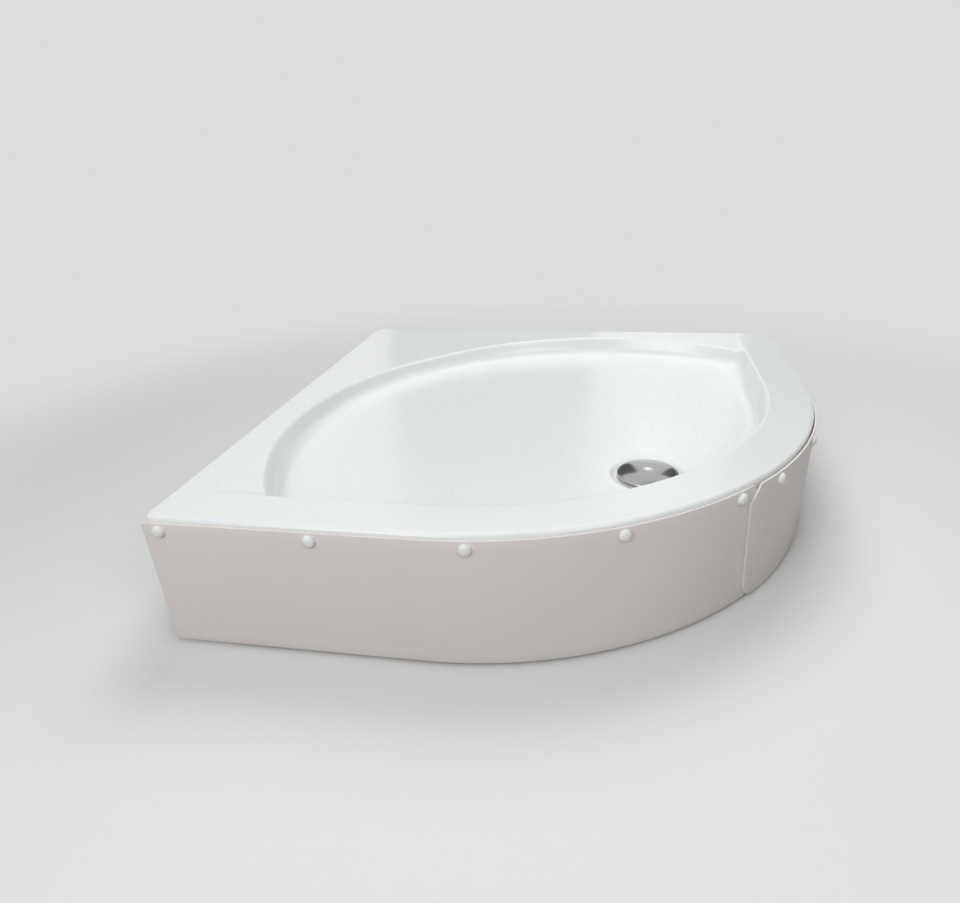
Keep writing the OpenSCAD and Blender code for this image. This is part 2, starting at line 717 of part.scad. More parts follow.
module outlet_nut() {
  r = socket_r + 4;
  color("dimgray") place() along_outlet() translate([0, 0, outlet_len - nut_h]) difference() {
    union() {
      cylinder(r = r, h = nut_h - 1);
      translate([0, 0, nut_h - 1]) cylinder(r1 = r, r2 = r - 1, h = 1);
      for (a = [15:30:345]) rotate(a) translate([r - 0.6, 0, 2]) cylinder(r = 1.8, h = nut_h - 5, $fn = 24);
    }
    translate([0, 0, -1]) cylinder(r = socket_r + slip, h = nut_h - lip_t + 1);
    translate([0, 0, -1]) cylinder(r = pipe_r + 1, h = nut_h + 2);
  }
}
// The dip tube lifts out: its collar rests on a seal on the flange's inner ledge
dip_low = trap_low + trap_wall + 7;
ledge_z = trap_z - neck_h + 4.5;
seal_h = 2;
collar_t = 3;
bridge_r = 5;
stem_r = 3;
module dip_seal() {
  color("black") place() at_drain() translate([0, 0, ledge_z]) difference() {
    cylinder(r = collar_r - 0.3, h = seal_h);
    translate([0, 0, -1]) cylinder(r = dip_r + 0.1, h = seal_h + 2);
  }
}
module dip_tube() {
  z = ledge_z + seal_h;
  color("silver") place() at_drain() {
    rotate_extrude() polygon([
      [dip_r - 2, dip_low], [dip_r, dip_low], [dip_r, z], [collar_r, z],
      [collar_r, z + collar_t], [dip_r - 2, z + collar_t]]);
    difference() {
      union() {
        translate([0, 0, z - 8]) cylinder(r = bridge_r, h = 10.5);
        for (a = [0:60:120]) rotate(a) translate([-dip_r + 1, -1.2, z - 6]) cube([2 * dip_r - 2, 2.4, 8]);
      }
      translate([0, 0, z - 9]) cylinder(r = stem_r + turn_fit, h = 14);
    }
  }
}
// The cover stands on three legs on the flange; its stem drops into the dip tube's bridge
cover_edge = 1.5;
cover_dome = (pow(cover_r, 2) + pow(cover_rise, 2)) / (2 * cover_rise);
cover_z = recess_z + cover_gap;
dome_c = cover_z + cover_edge + cover_rise - cover_dome;
leg_x = flange_r - 8;
function dome_z(r) = dome_c + sqrt(pow(cover_dome, 2) - r * r) - cover_t / 2;
module drain_cover() {
  stem_z = ledge_z + seal_h - 6;
  color("gainsboro") place() at_drain() {
    difference() {
      intersection() {
        translate([0, 0, dome_c]) sphere(cover_dome, $fn = 256);
        translate([0, 0, cover_z]) cylinder(r = cover_r, h = cover_rise + cover_edge + 1);
      }
      intersection() {
        translate([0, 0, dome_c]) sphere(cover_dome - cover_t, $fn = 256);
        translate([0, 0, cover_z - 1]) cylinder(r = cover_r - cover_t, h = cover_rise + cover_edge + 1);
      }
    }
    translate([0, 0, stem_z]) cylinder(r = stem_r, h = dome_z(0) - stem_z);
    for (a = [30:120:270]) rotate(a) translate([leg_x, 0, recess_z + flange_t])
      cylinder(r = 2, h = dome_z(leg_x) - recess_z - flange_t);
  }
}

tray_shell();
base_board();
corner_blocks();
rim_blocks();
long_rail();
back_rail();
fork_rail_left();
fork_rail_right();
front_rail();
tube_plugs();
weld_nuts();
lock_nuts();
frame_screws();
foot_rod_1();
foot_rod_2();
foot_rod_3();
foot_rod_4();
foot_rod_5();
foot_pad_1();
foot_pad_2();
foot_pad_3();
foot_pad_4();
foot_pad_5();
apron_long();
apron_short();
apron_screws();
cap_washers();
screw_caps();
waste_flange();
waste_gasket();
trap_body();
dip_tube();
dip_seal();
drain_cover();
outlet_nut();
outlet_seal();
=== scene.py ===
# %% [markdown]
# # A corner shower tray, dressed for its picture
# The tray is a white acrylic shell, vacuum formed over a mould and stiffened underneath with
# glass fibre. It stands on a welded frame with five screw feet, and a bent plastic sheet, the
# apron, closes its curved front. The CAD model already holds every piece in its true place, so
# this lesson only gives the pieces the finer surfaces and the finishes that a lens would see.

from math import atan, atan2, cos, pi, radians, sin, sqrt, tan

import bmesh
import bpy
import numpy as np
from mathutils import Matrix, Vector


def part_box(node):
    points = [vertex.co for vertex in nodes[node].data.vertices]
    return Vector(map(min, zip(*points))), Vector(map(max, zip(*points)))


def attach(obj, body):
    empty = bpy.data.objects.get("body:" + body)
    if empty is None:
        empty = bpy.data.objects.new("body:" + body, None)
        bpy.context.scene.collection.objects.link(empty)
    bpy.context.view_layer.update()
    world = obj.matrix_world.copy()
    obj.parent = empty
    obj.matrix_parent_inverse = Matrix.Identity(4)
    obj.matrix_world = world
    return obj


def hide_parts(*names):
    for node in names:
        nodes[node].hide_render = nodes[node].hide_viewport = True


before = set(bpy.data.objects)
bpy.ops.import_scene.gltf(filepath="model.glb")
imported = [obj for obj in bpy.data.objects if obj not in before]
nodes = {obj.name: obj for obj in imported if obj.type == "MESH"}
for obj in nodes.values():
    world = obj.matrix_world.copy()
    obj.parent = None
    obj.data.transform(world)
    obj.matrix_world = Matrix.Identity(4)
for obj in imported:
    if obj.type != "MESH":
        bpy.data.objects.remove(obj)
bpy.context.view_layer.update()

# %% [markdown]
# # The camera
# A camera can be placed by eye or worked out. Here it was worked out: the rim, the apron and
# the drain have known sizes, and only one place makes them fall where the photograph has them.
# The lens has a focal length of about 25 mm over a 36 mm sensor, and looks down on the tray from
# a little to the right. The Standard view shows each colour as it was computed, so that a tone
# can be compared with the photograph's.

# %% Camera
PICTURE = (960, 903)
SENSOR = 36                   # mm
focal_length = 670.2          # in pixels of the picture
picture_middle = (504.3, 481.7)
camera_place = Vector((0.1198, -1.0770, 0.6017))
azimuth, elevation, roll = (radians(a) for a in (10.305, 27.417, -2.021))

back = Vector((sin(azimuth) * cos(elevation), -cos(azimuth) * cos(elevation), sin(elevation)))
right = (-back).cross(Vector((0, 0, 1))).normalized()
up = right.cross(-back)
right, up = (cos(roll) * right + sin(roll) * up, cos(roll) * up - sin(roll) * right)
camera_data = bpy.data.cameras.new("camera")
camera_data.sensor_width = SENSOR
camera_data.lens = focal_length / PICTURE[0] * SENSOR
camera_data.shift_x = (PICTURE[0] / 2 - picture_middle[0]) / PICTURE[0]
camera_data.shift_y = (picture_middle[1] - PICTURE[1] / 2) / PICTURE[0]


def in_scene(name, data):
    """A new object of this data, put into the scene."""
    made = bpy.data.objects.new(name, data)
    bpy.context.scene.collection.objects.link(made)
    return made


camera = in_scene("camera", camera_data)
camera.matrix_world = (Matrix.Translation(camera_place)
                       @ Matrix((right, up, back)).transposed().to_4x4())
bpy.context.scene.camera = camera
bpy.context.scene.view_settings.view_transform = "Standard"
print("lens", round(camera_data.lens, 2), "mm")

# %% [markdown]
# # The tray's plan
# Seen from above the tray is a square with one corner swapped for a quarter of a circle. All
# other lines follow from it: the flat band along the front, the bowl's two edges and the drain.
# The drain is a good middle to draw from, because a straight line from it meets each of these
# lines exactly once.

# %% Plan of the tray
low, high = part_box("tray_shell")
half = (high.x - low.x) / 2
middle = np.array([(low.x + high.x) / 2, (low.y + high.y) / 2])
rim_z, under_z = high.z, low.z
front_radius, corner_radius, edge_radius = 0.550, 0.012, 0.006
band, bowl_radius, bowl_gap = 0.072, 0.504, 0.054
drain_inset = 0.088           # from the band's inner edge to the drain
shell = 0.0045                # thickness of the acrylic and its glass fibre
lip_z = rim_z - 0.040         # lower edge of the turned-down lip
recess_z = under_z + shell    # bottom of the round recess
floor_edge_z = recess_z + 0.005
recess_radius, hole_radius = 0.056, 0.031
arc_middle = np.array([half - front_radius, front_radius - half])
bowl_middle = np.array([bowl_radius - half + bowl_gap, half - bowl_gap - bowl_radius])
inner = half - band           # the band's inner edge
inner_radius = front_radius - band
drain = arc_middle + (inner_radius - drain_inset) * np.array([1, -1]) / sqrt(2)
print("drain at", np.round(drain + middle, 4), "rim at", round(rim_z, 4))

# %% [markdown]
# # Distances from the drain
# Each line of the plan could be drawn with points of its own, but a smooth surface needs points
# that match from line to line. So every line is asked the same question: how far from the drain
# is it in this direction? A circle answers with one square root. The outline answers with the
# side, the front's circle or a corner's small circle, whichever stands in the way.

# %% Distances to a circle and to the outline
SLIVER = 1e-9                 # stands in for a 0 that something is divided by


def never_zero(ways):
    return np.where(np.abs(ways) < SLIVER, SLIVER, ways)


def to_circle(ways, centre, radius):
    """How far each direction runs from the drain to a circle."""
    away = centre - drain
    along = ways @ away
    return along + np.sqrt(along ** 2 - away @ away + radius ** 2)


def to_outline(ways, inset):
    """How far each direction runs from the drain to the tray's outline, drawn in by inset."""
    side, round_r = half - inset, max(corner_radius - inset, 0.001)
    steps = never_zero(ways)
    far = np.min((np.sign(steps) * side - drain) / steps, axis=1)
    ends = drain + far[:, None] * ways
    on_arc = (ends[:, 0] > arc_middle[0]) & (ends[:, 1] < arc_middle[1])
    far = np.where(on_arc, to_circle(ways, arc_middle, front_radius - inset), far)
    for sx, sy in ((-1, -1), (-1, 1), (1, 1)):
        corner = np.array([sx, sy]) * (side - round_r)
        near = (sx * ends[:, 0] > side - round_r) & (sy * ends[:, 1] > side - round_r)
        if near.any():
            far[near] = to_circle(ways[near], corner, round_r)
    return far


# %% [markdown]
# # The bowl
# The bowl is a dish with two pointed ends, where the front edge and the flatter back edge
# cross. On the mould those points are sharp at the top and grow round towards the floor. A
# smooth minimum of the two distances does just that: it rounds the place where two curves
# cross, by as much as it is told.

# %% Bowl's edge
wall_lean, floor_fall = radians(15), 0.022
brow_radius, foot_radius, corner_blend = 0.007, 0.024, 0.120
NEVER = 9                     # metres: farther off than any line of the plan


def smooth_min(a, b, blend):
    reach = np.maximum(blend - np.abs(a - b), 0)
    return np.minimum(a, b) - reach ** 2 / (4 * blend)


def to_front_edge(ways, inset):
    """How far each direction runs to the band's inner edge, drawn in by inset."""
    far = to_circle(ways, arc_middle, inner_radius - inset)
    ends = drain + far[:, None] * ways
    steps = never_zero(ways)
    side = np.where(steps[:, 0] > 0, (inner - inset - drain[0]) / steps[:, 0], NEVER)
    front = np.where(steps[:, 1] < 0, (inset - inner - drain[1]) / steps[:, 1], NEVER)
    return np.where(ends[:, 1] > arc_middle[1], side,
                    np.where(ends[:, 0] < arc_middle[0], front, far))


def to_bowl_edge(ways, inset):
    """How far each direction runs to the bowl's edge, drawn in by inset, one number or many."""
    blend = corner_blend * np.clip(inset / foot_radius, 0.04, 1)
    back_edge = to_circle(ways, bowl_middle, bowl_radius - inset)
    return smooth_min(to_front_edge(ways, inset), back_edge, blend)


# %% [markdown]
# # Heights
# Water has to run off every part of the top. The shelf behind the bowl falls away from both
# walls, a low step leads from it up to the flat band, and the floor falls to the recess. Planes
# would meet in hard lines that no mould has, so they meet through the same smooth minimum.

# %% Heights of the top and the floor
shelf_margin, shelf_fall, step_slope = 0.014, 0.03, 0.45
fold, step_fold, meeting_fold = 0.0008, 0.002, 0.0026      # how soft each bend is
shelf_fade = 0.1              # the shelf fades out over this length towards the front


def eased(share):
    """From 0 to 1, level at both ends."""
    return share ** 2 * (3 - 2 * share)


def top_height(places):
    """Height of the rim, the shelf that falls away from both walls, and the step to the band."""
    x, y = places[:, 0], places[:, 1]
    falls = smooth_min(shelf_fall * (x + half - shelf_margin),
                       shelf_fall * (half - shelf_margin - y), fold)
    steps = smooth_min(step_slope * (y + inner), step_slope * (inner - x), step_fold)
    deep = -smooth_min(-smooth_min(falls, steps, meeting_fold), np.zeros(len(x)), fold)
    behind = np.clip((y - x + half / 2) / shelf_fade, 0, 1)
    return rim_z - deep * eased(behind)


def floor_height(far):
    return floor_edge_z + floor_fall * (far - recess_radius)


def floor_meets(top, height):
    """Plan distance from the bowl's edge to where the fillet meets the floor at that height."""
    fall = atan(floor_fall)
    drop = top - height - foot_radius * cos(fall) + foot_radius * sin(wall_lean)
    return drop * tan(wall_lean) + foot_radius * cos(wall_lean) - foot_radius * sin(fall)


print("in 100 mm the shelf falls", 100 * shelf_fall, "mm and the floor", 100 * floor_fall, "mm")

# %% [markdown]
# # The directions
# The shell is a fan of rings about the drain, and the number of directions sets how fine it
# is. Even steps would waste points on the plain floor and still leave the sharp places coarse.
# So the directions stand closer together where the plan turns fast, at the bowl's two points
# and at the square corners.

# %% Directions
even_step, least_step = 0.75, 0.0006      # in degrees, and in radians
corner_in = 0.004                         # middle of a corner's rounding, in from both sides


def towards(point):
    away = np.array(point) - drain
    return atan2(away[1], away[0])


tip_x = bowl_middle[0] - sqrt(bowl_radius ** 2 - (inner + bowl_middle[1]) ** 2)
tips = [towards((tip_x, -inner)), towards((inner, -tip_x))]
corners = [towards((sx * (half - corner_in), sy * (half - corner_in)))
           for sx, sy in ((-1, -1), (-1, 1), (1, 1))]
angles = {round(a % (2 * pi), 6) for a in np.arange(0, 360, even_step) * pi / 180}
for places, spread, step in ((tips, 5, 0.2), (corners, 1.6, 0.1)):
    for place in places:
        angles |= {round((place + radians(a)) % (2 * pi), 6)
                   for a in np.arange(-spread, spread, step)}
angles = sorted(angles)
angles = np.array([a for a, b in zip(angles, angles[1:] + [NEVER]) if b - a > least_step])
ways = np.column_stack([np.cos(angles), np.sin(angles)])
count = len(ways)
print("directions:", count)

# %% [markdown]
# # The rings of the bowl
# From the drain outwards each direction carries the same run of shapes: the recess, the falling
# floor, a fillet, the leaning wall and a rounded brow. The fillet has to touch both the floor
# and the wall, so its place is worked out first, and once more with the floor's height at the
# place that was found.

# %% Rings from the drain to the brow
rings = []


def ring(far, height):
    far, height = np.broadcast_to(far, count), np.broadcast_to(height, count)
    rings.append(np.column_stack([middle + drain + far[:, None] * ways, height]))


brow_out = brow_radius * tan(pi / 4 - wall_lean / 2)
top = top_height(drain + to_bowl_edge(ways, -brow_out)[:, None] * ways)
meets = floor_meets(top, floor_height(to_bowl_edge(ways, foot_radius)))
meets = floor_meets(top, floor_height(to_bowl_edge(ways, meets)))
foot_far = to_bowl_edge(ways, meets)

recess_end, recess_slope = recess_radius + 0.0012, 0.009
for far in np.linspace(hole_radius, recess_end - recess_slope, 5):
    ring(far, recess_z)
for share in np.linspace(0, 1, 12)[1:]:
    ring(recess_end - recess_slope + recess_slope * share,
         recess_z + (floor_height(recess_end) - recess_z) * eased(share))
for share in np.linspace(0, 1, 16)[1:]:
    far = recess_end + (foot_far - recess_end) * share ** 1.3
    ring(far, floor_height(far))
fall = atan(floor_fall)
foot_middle = (meets + foot_radius * sin(fall), floor_height(foot_far) + foot_radius * cos(fall))
for turn in np.linspace(pi / 2 - fall, wall_lean, 11)[1:]:
    ring(to_bowl_edge(ways, foot_middle[0] - foot_radius * cos(turn)),
         foot_middle[1] - foot_radius * sin(turn))
for turn in np.linspace(wall_lean, pi / 2, 11):
    ring(to_bowl_edge(ways, brow_radius * cos(turn) - brow_out),
         top - brow_radius + brow_radius * sin(turn))
print("rings of the bowl:", len(rings))

# %% [markdown]
# # The rings of the top and the lip
# Outside the brow comes the top with its shelf, step and band, then the rounded rim and the
# lip that hangs down all round. The step crosses the rings at a slant, so the top needs many
# rings to keep it crisp, while the plain lip is content with four.

# %% Rings from the brow to the lip
edge_far, rim_far = to_bowl_edge(ways, -brow_out), to_outline(ways, edge_radius)
for share in np.linspace(0, 1, 62)[1:]:
    far = edge_far + (rim_far - edge_far) * share
    ring(far, top_height(drain + far[:, None] * ways))
for turn in np.linspace(0, pi / 2, 8)[1:]:
    ring(to_outline(ways, edge_radius * (1 - sin(turn))), rim_z - edge_radius * (1 - cos(turn)))
for height in np.linspace(rim_z - edge_radius, lip_z, 5)[1:]:
    ring(to_outline(ways, 0), height)
print("rings:", len(rings), "points:", len(rings) * count)

# %% [markdown]
# # The shell as a sheet with thickness
# The rings are stitched into four-sided faces, which take light more evenly than the triangles
# of a CAD mesh. The real shell is one sheet of nearly even thickness, so a Solidify step makes
# its underside from its top, with glass fibre as the second material.

# %% Mesh helpers
def stitch(rings, across, closed=True):
    """Faces between rings of points, each ring holding across points."""
    last = across if closed else across - 1
    return [(j * across + i, (j + 1) * across + i,
             (j + 1) * across + (i + 1) % across, j * across + (i + 1) % across)
            for j in range(rings - 1) for i in range(last)]


def piece_of(name, mesh, smooth_under=40):
    """An object of this mesh. Edges sharper than smooth_under degrees stay sharp."""
    mesh.validate()
    for face in mesh.polygons:
        face.use_smooth = True
    mesh.set_sharp_from_angle(angle=radians(smooth_under))
    return in_scene(name, mesh)


def new_piece(name, points, faces, smooth_under=40):
    """An object made of these points and faces."""
    mesh = bpy.data.meshes.new(name)
    mesh.from_pydata([tuple(p) for p in points], [], [tuple(f) for f in faces])
    return piece_of(name, mesh, smooth_under)


def final_mesh(piece):
    """The mesh of a piece with its modifiers applied."""
    return bpy.data.meshes.new_from_object(
        piece.evaluated_get(bpy.context.evaluated_depsgraph_get()))


# %% The shell
sheet = new_piece("tray_surface", np.concatenate(rings), stitch(len(rings), count))
thicken = sheet.modifiers.new("thickness", "SOLIDIFY")
thicken.thickness, thicken.offset = shell, -1
thicken.use_even_offset = False
thicken.material_offset = 1
solid = final_mesh(sheet)
bpy.data.objects.remove(sheet)
tray = piece_of("tray", solid, 50)
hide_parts("tray_shell")
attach(tray, "tray")
print("tray:", len(solid.polygons), "faces, thickness", shell)

# %% [markdown]
# # The apron's place
# The apron is two lengths of flat sheet, bent by hand round the front and screwed to blocks
# behind the rim. A bend changes no length along the sheet, so a place on it is best named by
# how far it lies along the front and how far out. The short sheet laps over the long one, so
# its curve is pushed out beside the joint by one thickness.

# %% Places along the front
sheet_thick, fit, slip = 0.003, 0.0003, 0.00015
apron_low, apron_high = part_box("apron_long")[0].z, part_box("apron_long")[1].z
apron_height = apron_high - apron_low
straight = half + arc_middle[0]
front_length = 2 * straight + front_radius * pi / 2
joint_at, overlap = 0.797, 0.034
lap_angle = (joint_at + overlap - straight) / front_radius - pi / 2
lap_shift = (sheet_thick + slip) / sin(-lap_angle)
print("front:", round(front_length, 4), "m long, sheets", round(apron_height, 4), "m high")


def on_front(run, out, lapping):
    """Plan places at a length along the front and a distance out from the sheet's inner face."""
    angle = (run - straight) / front_radius - pi / 2
    way = np.column_stack([np.cos(angle), np.sin(angle)])
    centre = np.array([0, -lap_shift if lapping else 0])
    along = way @ centre
    far = along + np.sqrt(along ** 2 - centre @ centre + (front_radius + fit + out) ** 2)
    places = arc_middle + far[:, None] * way
    before, after = run <= straight, angle >= 0
    beside = ~after & (places[:, 1] > arc_middle[1] - lap_shift) & lapping
    side_x = half + fit + out
    level = arc_middle[1] + np.where(after, run - straight - front_radius * pi / 2,
                                     (side_x - arc_middle[0]) * np.tan(np.minimum(angle, 0)))
    places = np.where(before[:, None], np.column_stack([run - half, -half - fit - out]), places)
    places = np.where((after | beside)[:, None], np.column_stack([side_x + 0 * run, level]), places)
    return places + middle


# %% [markdown]
# # Cutting and bending the sheets
# Each sheet is drawn flat first, as it was cut, and its edges are eased while it is still flat,
# where a bevel is simple. Then every point is carried onto the curve. Only the points near an
# end move to meet its cut, so the rest of the grid stays even.

# %% A flat sheet and its bend
columns, end_reach = 112, 0.12            # points along a sheet, and how far a cut pulls them
ease, ease_steps = 0.0008, 3
sharp_angle, level_with = radians(60), 1e-6


def sheet_rows(left, right, levels):
    """Where the points of each level lie along the front, from left(z) to right(z)."""
    start, end = min(map(left, levels)), max(map(right, levels))
    plain = start + (end - start) * np.linspace(0, 1, columns)
    near_left = np.clip(1 - (plain - start) / end_reach, 0, 1)
    near_right = np.clip(1 - (end - plain) / end_reach, 0, 1)
    return [plain + (left(level) - start) * near_left + (right(level) - end) * near_right
            for level in levels]


def flat_sheet(rows, levels):
    """The sheet as it was cut: X along the front, Y out from its inner face, Z up."""
    flat = bmesh.new()
    sides = [[[flat.verts.new((run, out, level)) for run in row]
              for row, level in zip(rows, levels)] for out in (0.0, sheet_thick)]
    for is_inner, grid in zip((True, False), sides):
        for low_row, high_row in zip(grid, grid[1:]):
            for i in range(columns - 1):
                face = [low_row[i], low_row[i + 1], high_row[i + 1], high_row[i]]
                flat.faces.new(face if is_inner else face[::-1])
    loops = [side[0] + [row[-1] for row in side[1:]] + side[-1][-2::-1]
             + [row[0] for row in side[-2:0:-1]] for side in sides]
    nexts = [loop[1:] + loop[:1] for loop in loops]
    for a, b, c, d in zip(loops[0], nexts[0], loops[1], nexts[1]):
        flat.faces.new([a, c, d, b])
    bmesh.ops.recalc_face_normals(flat, faces=flat.faces)
    rim = [e for e in flat.edges if e.calc_face_angle(0) > sharp_angle
           and abs(e.verts[0].co.y - e.verts[1].co.y) < level_with]
    bmesh.ops.bevel(flat, geom=rim, offset=ease, segments=ease_steps, profile=0.5, affect="EDGES")
    return flat


def bent_sheet(name, left, right, levels, node):
    """A sheet from left(z) to right(z) at levels above its lower edge, bent onto the front."""
    bent = flat_sheet(sheet_rows(left, right, levels), levels)
    flat = np.array([v.co for v in bent.verts])
    plan = on_front(flat[:, 0], flat[:, 1], node == "apron_short")
    for vert, (x, y), z in zip(bent.verts, plan, flat[:, 2]):
        vert.co = (x, y, apron_low + z)
    bmesh.ops.recalc_face_normals(bent, faces=bent.faces)
    mesh = bpy.data.meshes.new(name)
    bent.to_mesh(mesh)
    bent.free()
    sheet = piece_of(name, mesh, 35)
    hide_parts(node)
    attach(sheet, "tray")
    print(name, len(mesh.polygons), "faces")
    return sheet


# %% [markdown]
# # The joint of the two sheets
# The short sheet's end leans a little, has a cut corner at the top and a round one at the foot,
# and the long sheet runs on behind it. Each end is written as a function that gives its place
# for a height, so the levels of the grid only have to be close where the outline turns.

# %% The two sheets
cut_wide, cut_high, notch, lean, foot_round = 0.020, 0.026, 0.014, 0.012, 0.028
round_middle, cut_from = foot_round - 0.001, apron_height - cut_high


def long_end(z):
    cut = cut_wide - notch
    return joint_at + min(overlap, cut + (apron_height - z) * (overlap - cut) / cut_high)


def short_start(z):
    if z < round_middle:
        across = sqrt(foot_round ** 2 - (round_middle - z) ** 2)
        return joint_at + lean + foot_round - across
    if z < cut_from:
        return joint_at + lean * (cut_from - z) / (cut_from - round_middle)
    return joint_at + cut_wide * (z - cut_from) / cut_high


round_levels = [round_middle - foot_round * cos(a) for a in np.linspace(0.27, pi / 2, 9)]
even_levels = list(np.linspace(round_middle, cut_from, 9)[1:])
top_levels = [apron_height - cut_high / 2, apron_height]
long_levels = [0, 0.012] + round_levels[-1:] + even_levels + top_levels
short_levels = [0] + round_levels + even_levels + top_levels
long_sheet = bent_sheet("long_sheet", lambda z: 0.0, long_end, long_levels, "apron_long")
short_sheet = bent_sheet("short_sheet", short_start, lambda z: front_length, short_levels,
                         "apron_short")

# %% [markdown]
# # The caps on the screws
# Each screw of the apron hides under a small plastic dome that snaps onto its washer. A dome
# that is part of a ball looks like a pea cut in half. The real ones are a little flatter on
# top and turn down faster at the rim, which a superellipse gives in one line. Its profile is
# turned about an axis, the way a lathe would make it.

# %% Turning a profile, joining parts
def at_turn(turn, radius, height=0.0):
    """A place that is radius out from the Z axis, at this turn round it."""
    return Vector((radius * cos(turn), radius * sin(turn), height))


def turned(profile, steps=96):
    """Points and faces of a profile of (radius, height) turned about Z. Radius 0 is a point."""
    points, faces, rings = [], [], []
    for radius, height in profile:
        if radius < 1e-7:
            rings.append([len(points)] * steps)
            points.append(Vector((0, 0, height)))
        else:
            rings.append(list(range(len(points), len(points) + steps)))
            points += [at_turn(2 * pi * i / steps, radius, height) for i in range(steps)]
    for low, high in zip(rings, rings[1:]):
        for i in range(steps):
            k = (i + 1) % steps
            face = [low[i], low[k], high[k], high[i]]
            faces.append([v for n, v in enumerate(face) if v not in face[:n]])
    return points, [f for f in faces if len(f) > 2]


def joined(parts):
    """One list of points and one of faces, from many small meshes."""
    points, faces = [], []
    for some_points, some_faces in parts:
        faces += [[v + len(points) for v in face] for face in some_faces]
        points += some_points
    return points, faces


# %% Where the screws are
screw_drop, screw_end = 0.0115, 0.022     # down from the top, and in from the walls
joint_back, joint_on = 0.017, 0.070       # from the joint back, and on
long_shift, short_shift = 0.009, -0.021   # of the middle three
screw_z = apron_high - screw_drop
middle_three = np.array([0, 1, 1, 1, 0])
long_screws = np.linspace(screw_end, joint_at - joint_back, 5) + long_shift * middle_three
short_screws = (np.linspace(joint_at + joint_on, front_length - screw_end, 5)
                + short_shift * middle_three)
print("screws along the front:", np.round(np.concatenate([long_screws, short_screws]), 3))

# %% Caps
cap_radius, cap_height, cap_wall = 0.0086, 0.0060, 0.001
dome = [(cap_radius * sin(a) ** 0.88, cap_height * cos(a) ** 0.92)
        for a in np.linspace(0.0, pi / 2, 18)]
dome[0], dome[-1] = (0.0, cap_height), (cap_radius, 0.0)
hollow = [(cap_radius - cap_wall * 0.8, 0.0), (cap_radius - cap_wall * 1.2, cap_height * 0.5),
          (0.0, cap_height - cap_wall)]
cap_points, cap_faces = turned(dome + hollow, 48)
cap_parts = []
for lapping, screws_at in ((False, long_screws), (True, short_screws)):
    for run in screws_at:
        near, far = (on_front(np.array([run]), np.array([out]), lapping)[0]
                     for out in (sheet_thick, sheet_thick + 0.01))
        outwards = Vector((*(far - near), 0)).normalized()
        sideways = Vector((0, 0, 1)).cross(outwards)
        start = Vector((*near, screw_z)) + outwards * slip
        cap_parts.append(([start + sideways * p.x + Vector((0, 0, p.y)) + outwards * p.z
                           for p in cap_points], cap_faces))
caps = new_piece("domed_caps", *joined(cap_parts), 50)
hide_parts("screw_caps")
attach(caps, "tray")
print("caps:", len(cap_parts), "at height", round(screw_z, 4))

# %% [markdown]
# # The drain cover
# The cover is a disc of steel spun over a form: a shallow dome that rolls down at its rim and
# stands on three legs, so water runs in all round under it. It is turned about the drain's
# axis, and its object stands there too, because its finish is made of circles round that axis.

# %% Cover
drain_at = Vector((*(middle + drain), 0))
cover_low, cover_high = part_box("drain_cover")[1].z - 0.008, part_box("drain_cover")[1].z
stem_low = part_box("drain_cover")[0].z
cover_radius, cover_rise, cover_sheet = 0.045, 0.0065, 0.0015
dome_radius = (cover_radius ** 2 + cover_rise ** 2) / (2 * cover_rise)


def dome_height(r):
    return cover_high - dome_radius + sqrt(dome_radius ** 2 - r ** 2)


dome_top = [(r, dome_height(r)) for r in np.linspace(0, cover_radius - 0.0035, 26)]
roll_r, roll_z = dome_top[-1]
hem_z = cover_low + 0.0006
roll = [(roll_r + (cover_radius - roll_r) * sin(a), hem_z + (roll_z - hem_z) * cos(a) ** 0.8)
        for a in np.linspace(0.12, pi / 2 - 0.001, 12)]
hem = [(cover_radius - 0.0002, cover_low + 0.0001), (cover_radius - 0.0008, cover_low),
       (cover_radius - cover_sheet, cover_low + 0.0004)]
under = [(r, z - cover_sheet) for r, z in dome_top[::-3] if 0.0035 < r < cover_radius - 0.003]
stem = [(0.003, under[-1][1] - 0.0004), (0.003, stem_low + 0.0008), (0.0024, stem_low),
        (0.0, stem_low)]
cover = new_piece("domed_cover", *turned(dome_top + roll + hem + under + stem, 160))
cover.location = drain_at
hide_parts("drain_cover")
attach(cover, "cover")
print("cover:", [round(v, 4) for v in cover.dimensions])

# %% Legs
leg_at, leg_radius = cover_radius - 0.011, 0.002
leg_low, leg_top = recess_z + 0.0025, dome_height(leg_at) - cover_sheet + 0.0004
leg_points, leg_faces = turned([(0, leg_low), (0.0014, leg_low), (leg_radius, leg_low + 0.0006),
                                (leg_radius, leg_top), (0, leg_top)], 24)
leg_parts = []
for turn in map(radians, (30, 150, 270)):
    leg_parts.append(([p + at_turn(turn, leg_at) for p in leg_points], leg_faces))
legs = new_piece("cover_legs", *joined(leg_parts))
legs.location = drain_at
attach(legs, "cover")
print("legs:", len(leg_parts), "of", round(leg_top - leg_low, 4), "m")

# %% [markdown]
# # The waste's flange
# Under the cover a turned ring clamps the waste through the hole, and its bright edge can be
# seen from low down. Its profile runs in a closed loop, so one more row of faces joins the last
# ring to the first.

# %% Flange
def arc(centre, radius, start, end, steps):
    """Points of an arc of a profile, from start to end in degrees."""
    angles = (radians(start + (end - start) * i / steps) for i in range(steps + 1))
    return [(centre[0] + radius * cos(a), centre[1] + radius * sin(a)) for a in angles]


